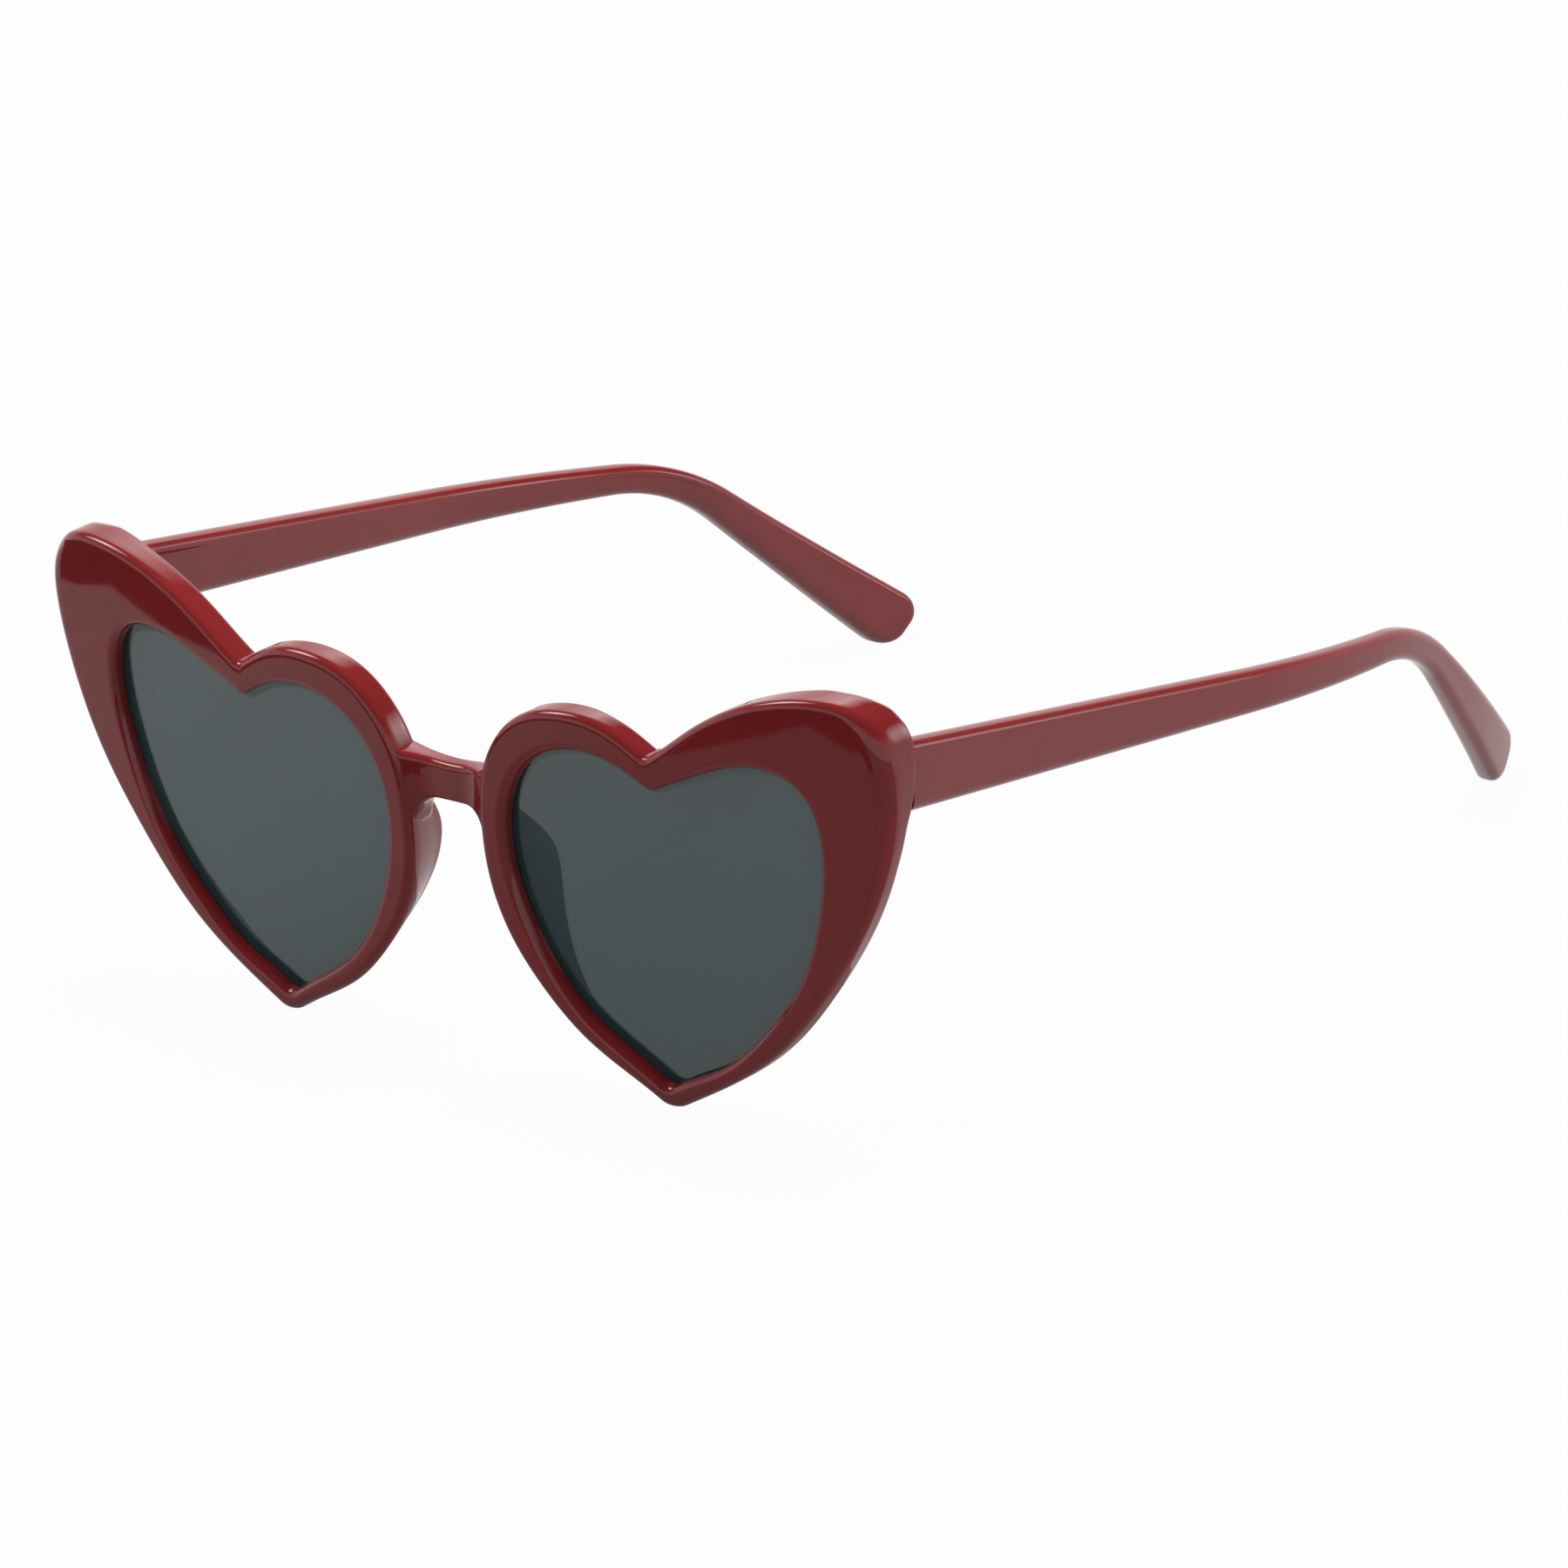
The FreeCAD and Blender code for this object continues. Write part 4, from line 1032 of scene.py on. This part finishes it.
# %% Hinge leaves
leaves = [f"{side}_{end}_hinge_leaf" for side in ("left", "right") for end in ("front", "temple")]
for node in leaves:
    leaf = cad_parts[node]
    leaf.data.materials.clear()
    leaf.data.materials.append(NICKEL)
print("finished", leaves)

# %% [markdown]
# ## Hinge screws
# The two screws are the same small turned piece with a slotted head. One is made at the origin by
# turning a profile and cutting the slot. Geometry Nodes then set a copy at each end of a line across
# the glasses, whose ends come from the box of the solids.

# %% Screw
PIN_RADIUS, HEAD_RADIUS, HEAD_HEIGHT, SLOT_WIDTH, SLOT_DEPTH = 0.65, 1.1, 0.6, 0.26, 0.3
screw_low, screw_high = (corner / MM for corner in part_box("hinge_screws"))


def screw_mesh():
    """A turned pin with a low slotted head, standing on the axis."""
    top, foot = screw_high.z, screw_low.z
    under = top - HEAD_HEIGHT
    profile = [(0.02, foot), (PIN_RADIUS - 0.15, foot), (PIN_RADIUS, foot + 0.15), (PIN_RADIUS, under),
               (HEAD_RADIUS - 0.05, under), (HEAD_RADIUS, under + 0.05), (HEAD_RADIUS, top - 0.2),
               (HEAD_RADIUS - 0.06, top - 0.06), (HEAD_RADIUS - 0.2, top), (0.02, top)]
    turns = np.linspace(0, 2 * math.pi, 48, endpoint=False)
    rings = [[(radius * math.cos(turn), radius * math.sin(turn), height) for turn in turns]
             for radius, height in profile]
    blank = tube_mesh("screw_blank", rings)
    cutter = box_mesh("screw_slot", (-2, -SLOT_WIDTH / 2, top - SLOT_DEPTH), (2, SLOT_WIDTH / 2, top + 1))
    return combined("screw", [blank, cutter], "DIFFERENCE")


def screw_tree():
    """A tree that sets a copy of its input at both ends of a line across the glasses."""
    tree = bpy.data.node_groups.new("screw_pair", "GeometryNodeTree")
    inputs = {"Geometry": "Geometry", "Start": "Vector", "Span": "Vector", "Finish": "Material"}
    for label, kind in inputs.items():
        tree.interface.new_socket(label, in_out="INPUT", socket_type=f"NodeSocket{kind}")
    tree.interface.new_socket("Geometry", in_out="OUTPUT", socket_type="NodeSocketGeometry")
    wire = Wire(tree)
    entry = tree.nodes.new("NodeGroupInput")
    ports = {port.name: Wire(tree, port) for port in entry.outputs}
    line = wire.node("GeometryNodeMeshLine", None,
                     {"Count": 2, "Start Location": ports["Start"], "Offset": ports["Span"]})
    pair = wire.node("GeometryNodeInstanceOnPoints", None,
                     {"Points": line, "Instance": ports["Geometry"]})
    real = wire.node("GeometryNodeRealizeInstances", None, {"Geometry": pair})
    done = wire.node("GeometryNodeSetMaterial", None, {"Geometry": real, "Material": ports["Finish"]})
    tree.links.new(done.socket, tree.nodes.new("NodeGroupOutput").inputs[0])
    return tree


axis_x, axis_y = (screw_high.x - HEAD_RADIUS) * MM, (screw_low.y + screw_high.y) / 2 * MM
spread = {"Start": (-axis_x, axis_y, 0.0), "Span": (2 * axis_x, 0.0, 0.0), "Finish": PLATED}
pair_mesh = bent_by(screw_tree(), screw_mesh(), "slotted_screws", spread)
smooth(pair_mesh, 30)
screws = new_object("slotted_screws", pair_mesh)
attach(screws, "front")
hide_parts("hinge_screws")
print("two screws,", len(pair_mesh.polygons), "faces")

# %% [markdown]
# ## Floor
# The photograph has a plain white ground. A pale floor carries the glasses: it is white towards the
# camera and in reflections, but a small share of plain grey stays in it, so that it keeps the faint
# shadow under the rims and tips.

# %% Floor
WHITE_SHARE = 0.955


def floor_finish():
    material, wire, shader, spot = new_material("studio_floor")
    tree = material.node_tree
    grain = noise(wire, spot, 3.0, 2.0)
    tone = ramp(wire, grain, (0.0, rgb(0.34, 0.34, 0.34)), (1.0, rgb(0.37, 0.37, 0.37)))
    feed(wire, shader, Base_Color=tone, Roughness=0.9, Specular_IOR_Level=0.0)
    rays = ("Is Camera Ray", "Is Glossy Ray", "Is Transmission Ray")
    seen = [wire.node("ShaderNodeLightPath", None, None, ray) for ray in rays]
    white = wire.node("ShaderNodeEmission", None, {"Color": rgb(1, 1, 1), "Strength": 1.0})
    share = wire.math("MAXIMUM", wire.math("MAXIMUM", seen[0], seen[1]), seen[2]) * WHITE_SHARE
    plain = Wire(tree, shader.outputs[0])
    mixed = wire.node("ShaderNodeMixShader", None, {0: share, 1: plain, 2: white})
    tree.links.new(mixed.socket, tree.nodes["Material Output"].inputs["Surface"])
    return material


floor_mesh = bpy.data.meshes.new("studio_floor")
floor_mesh.from_pydata([(-6, -6, 0), (6, -6, 0), (6, 6, 0), (-6, 6, 0)], [], [(0, 1, 2, 3)])
floor_mesh.materials.append(floor_finish())
floor = new_object("studio_floor", floor_mesh)
print("floor laid")

# %% [markdown]
# ## Cards for reflections
# Glossy plastic shows what stands around it. A grey card in front of the glasses gives the faces
# their muted tone, and a dark one beyond it gives the deep red of the upper lobes; the uneven edge
# between the two is the edge of that reflection. Only reflections see the cards, so the floor stays
# white.

# %% Cards for reflections


def reflection_sheet(name, corners, paint):
    """A sheet that only reflections see; paint adds its shader."""
    mesh = bpy.data.meshes.new(name)
    mesh.from_pydata(corners, [], [tuple(range(len(corners)))])
    material = bpy.data.materials.new(name)
    material.use_nodes = True
    tree = material.node_tree
    wire = Wire(tree)
    shader = paint(wire, wire.node("ShaderNodeTexCoord", out="Object"))
    tree.links.new(shader.socket, tree.nodes["Material Output"].inputs["Surface"])
    mesh.materials.append(material)
    item = new_object(name, mesh)
    item.visible_camera = item.visible_diffuse = item.visible_shadow = item.visible_transmission = False


def card(name, corners, *stops):
    """A flat card, its glow shaded from left to right."""
    def paint(wire, spot):
        across = wire.node("ShaderNodeSeparateXYZ", None, {"Vector": spot}, "X")
        tone = ramp(wire, across + 0.5, *stops)
        return wire.node("ShaderNodeEmission", None, {"Color": tone, "Strength": 1.0})

    reflection_sheet(name, corners, paint)


def grey(level):
    """A grey with the warmth of card."""
    return rgb(level, level * 0.985, level * 0.975)


LIFT = 0.0004
EDGE = ((-0.40, -0.112), (-0.205, -0.127), (-0.196, -0.131), (-0.190, -0.138), (-0.165, -0.139),
        (-0.145, -0.143), (-0.136, -0.200), (-0.046, -0.200), (-0.038, -0.171), (-0.024, -0.184),
        (-0.012, -0.195), (0.000, -0.190), (0.012, -0.188), (0.030, -0.200), (0.045, -0.200), (0.045, -1.2))
edge_line = [(*spot, LIFT) for spot in EDGE]
near_side = [(0.90, -1.2, LIFT), (0.90, -0.045, LIFT), (0.06, -0.045, LIFT), (-0.40, -0.02, LIFT)]
far_side = [(-1.4, -1.2, LIFT), (-1.4, 0.2, LIFT)]
card("grey_card", [*edge_line, *near_side], (0.30, grey(0.58)), (0.36, grey(0.60)), (0.44, grey(0.50)),
     (0.48, grey(0.30)), (0.54, grey(0.36)))
card("dark_card", [*edge_line, *far_side], (0.0, grey(0.03)), (1.0, grey(0.03)))
print("cards placed, the edge between them has", len(EDGE), "corners")

# %% [markdown]
# ## Soft glows
# A soft box is brightest in its middle and fades out, so its reflection has no hard edge. Three large
# sheets do this with a falloff from their middle. They give the pale sheen along the tops of the
# rims, on the corner and on the temple tips.

# %% Soft glows


def glow(name, way, reach, level):
    """A sheet that faces the glasses from one direction, brightest in its middle."""
    way = Vector(way).normalized()
    side = way.cross(Vector((0, 0, 1))).normalized() * reach
    lift = side.cross(way).normalized() * reach

    def paint(wire, spot):
        away = wire.node("ShaderNodeVectorMath", {"operation": "DISTANCE"}, {0: spot, 1: way}, "Value")
        soft = ramp(wire, away / reach, (0.0, grey(1.0)), (0.35, grey(0.6)), (1.0, grey(0.0)))
        light = wire.node("ShaderNodeEmission", None, {"Color": rgb(1, 1, 1), "Strength": level})
        clear = wire.node("ShaderNodeBsdfTransparent")
        return wire.node("ShaderNodeMixShader", None, {0: soft, 1: clear, 2: light})

    reflection_sheet(name, [way - side - lift, way + side - lift, way + side + lift, way - side + lift], paint)


glow("back_right_glow", (0.64, 0.66, 0.39), 0.24, 5.5)
glow("back_left_glow", (-0.48, 0.62, 0.62), 0.36, 2.8)
glow("left_glow", (-0.66, -0.17, 0.72), 0.22, 13.0)
print("three soft glows")

# %% [markdown]
# ## Lamps and world
# Four area lamps light the plastic at a plain level and are not mirrored in it. The world is white
# near the horizon and dark overhead, as in a room with a white sweep, so faces that look upwards
# keep their deep colour.

# %% Lamps and world


def lamp(name, place, aim, wide, tall, watts):
    """A soft lamp that lights the glasses but is not mirrored in them."""
    data = bpy.data.lights.new(name, "AREA")
    data.shape = "RECTANGLE"
    data.size, data.size_y, data.energy = wide, tall, watts
    item = bpy.data.objects.new(name, data)
    way = Vector(aim) - Vector(place)
    item.matrix_world = Matrix.Translation(place) @ way.to_track_quat("-Z", "Y").to_matrix().to_4x4()
    item.visible_glossy = False
    bpy.context.scene.collection.objects.link(item)


def studio_world():
    """White near the horizon, as around a white sweep, and dark overhead."""
    world = bpy.data.worlds.new("studio_world")
    world.use_nodes = True
    tree = world.node_tree
    wire = Wire(tree)
    way = wire.node("ShaderNodeTexCoord", out="Generated")
    height = wire.node("ShaderNodeSeparateXYZ", None, {"Vector": way}, "Z")
    tone = ramp(wire, height, (0.0, grey(1.0)), (0.34, grey(0.85)), (0.48, grey(0.24)), (0.60, grey(0.06)))
    tree.links.new(tone.socket, tree.nodes["Background"].inputs["Color"])
    tree.nodes["Background"].inputs["Strength"].default_value = 0.92
    return world


lamp("top_box", (-0.1, 0.1, 0.95), (0, 0, 0.02), 0.9, 0.7, 16.0)
lamp("back_box", (-0.6, 0.75, 0.62), (0, 0, 0.03), 0.9, 0.5, 4.0)
lamp("left_box", (-0.6, -0.4, 0.5), (0, 0, 0.03), 0.4, 0.4, 2.0)
lamp("right_box", (0.9, 0.3, 0.4), (0, 0, 0.03), 0.5, 0.5, 4.8)
bpy.context.scene.world = studio_world()
bpy.context.scene.view_settings.view_transform = "Standard"
print("four lamps and a pale world")
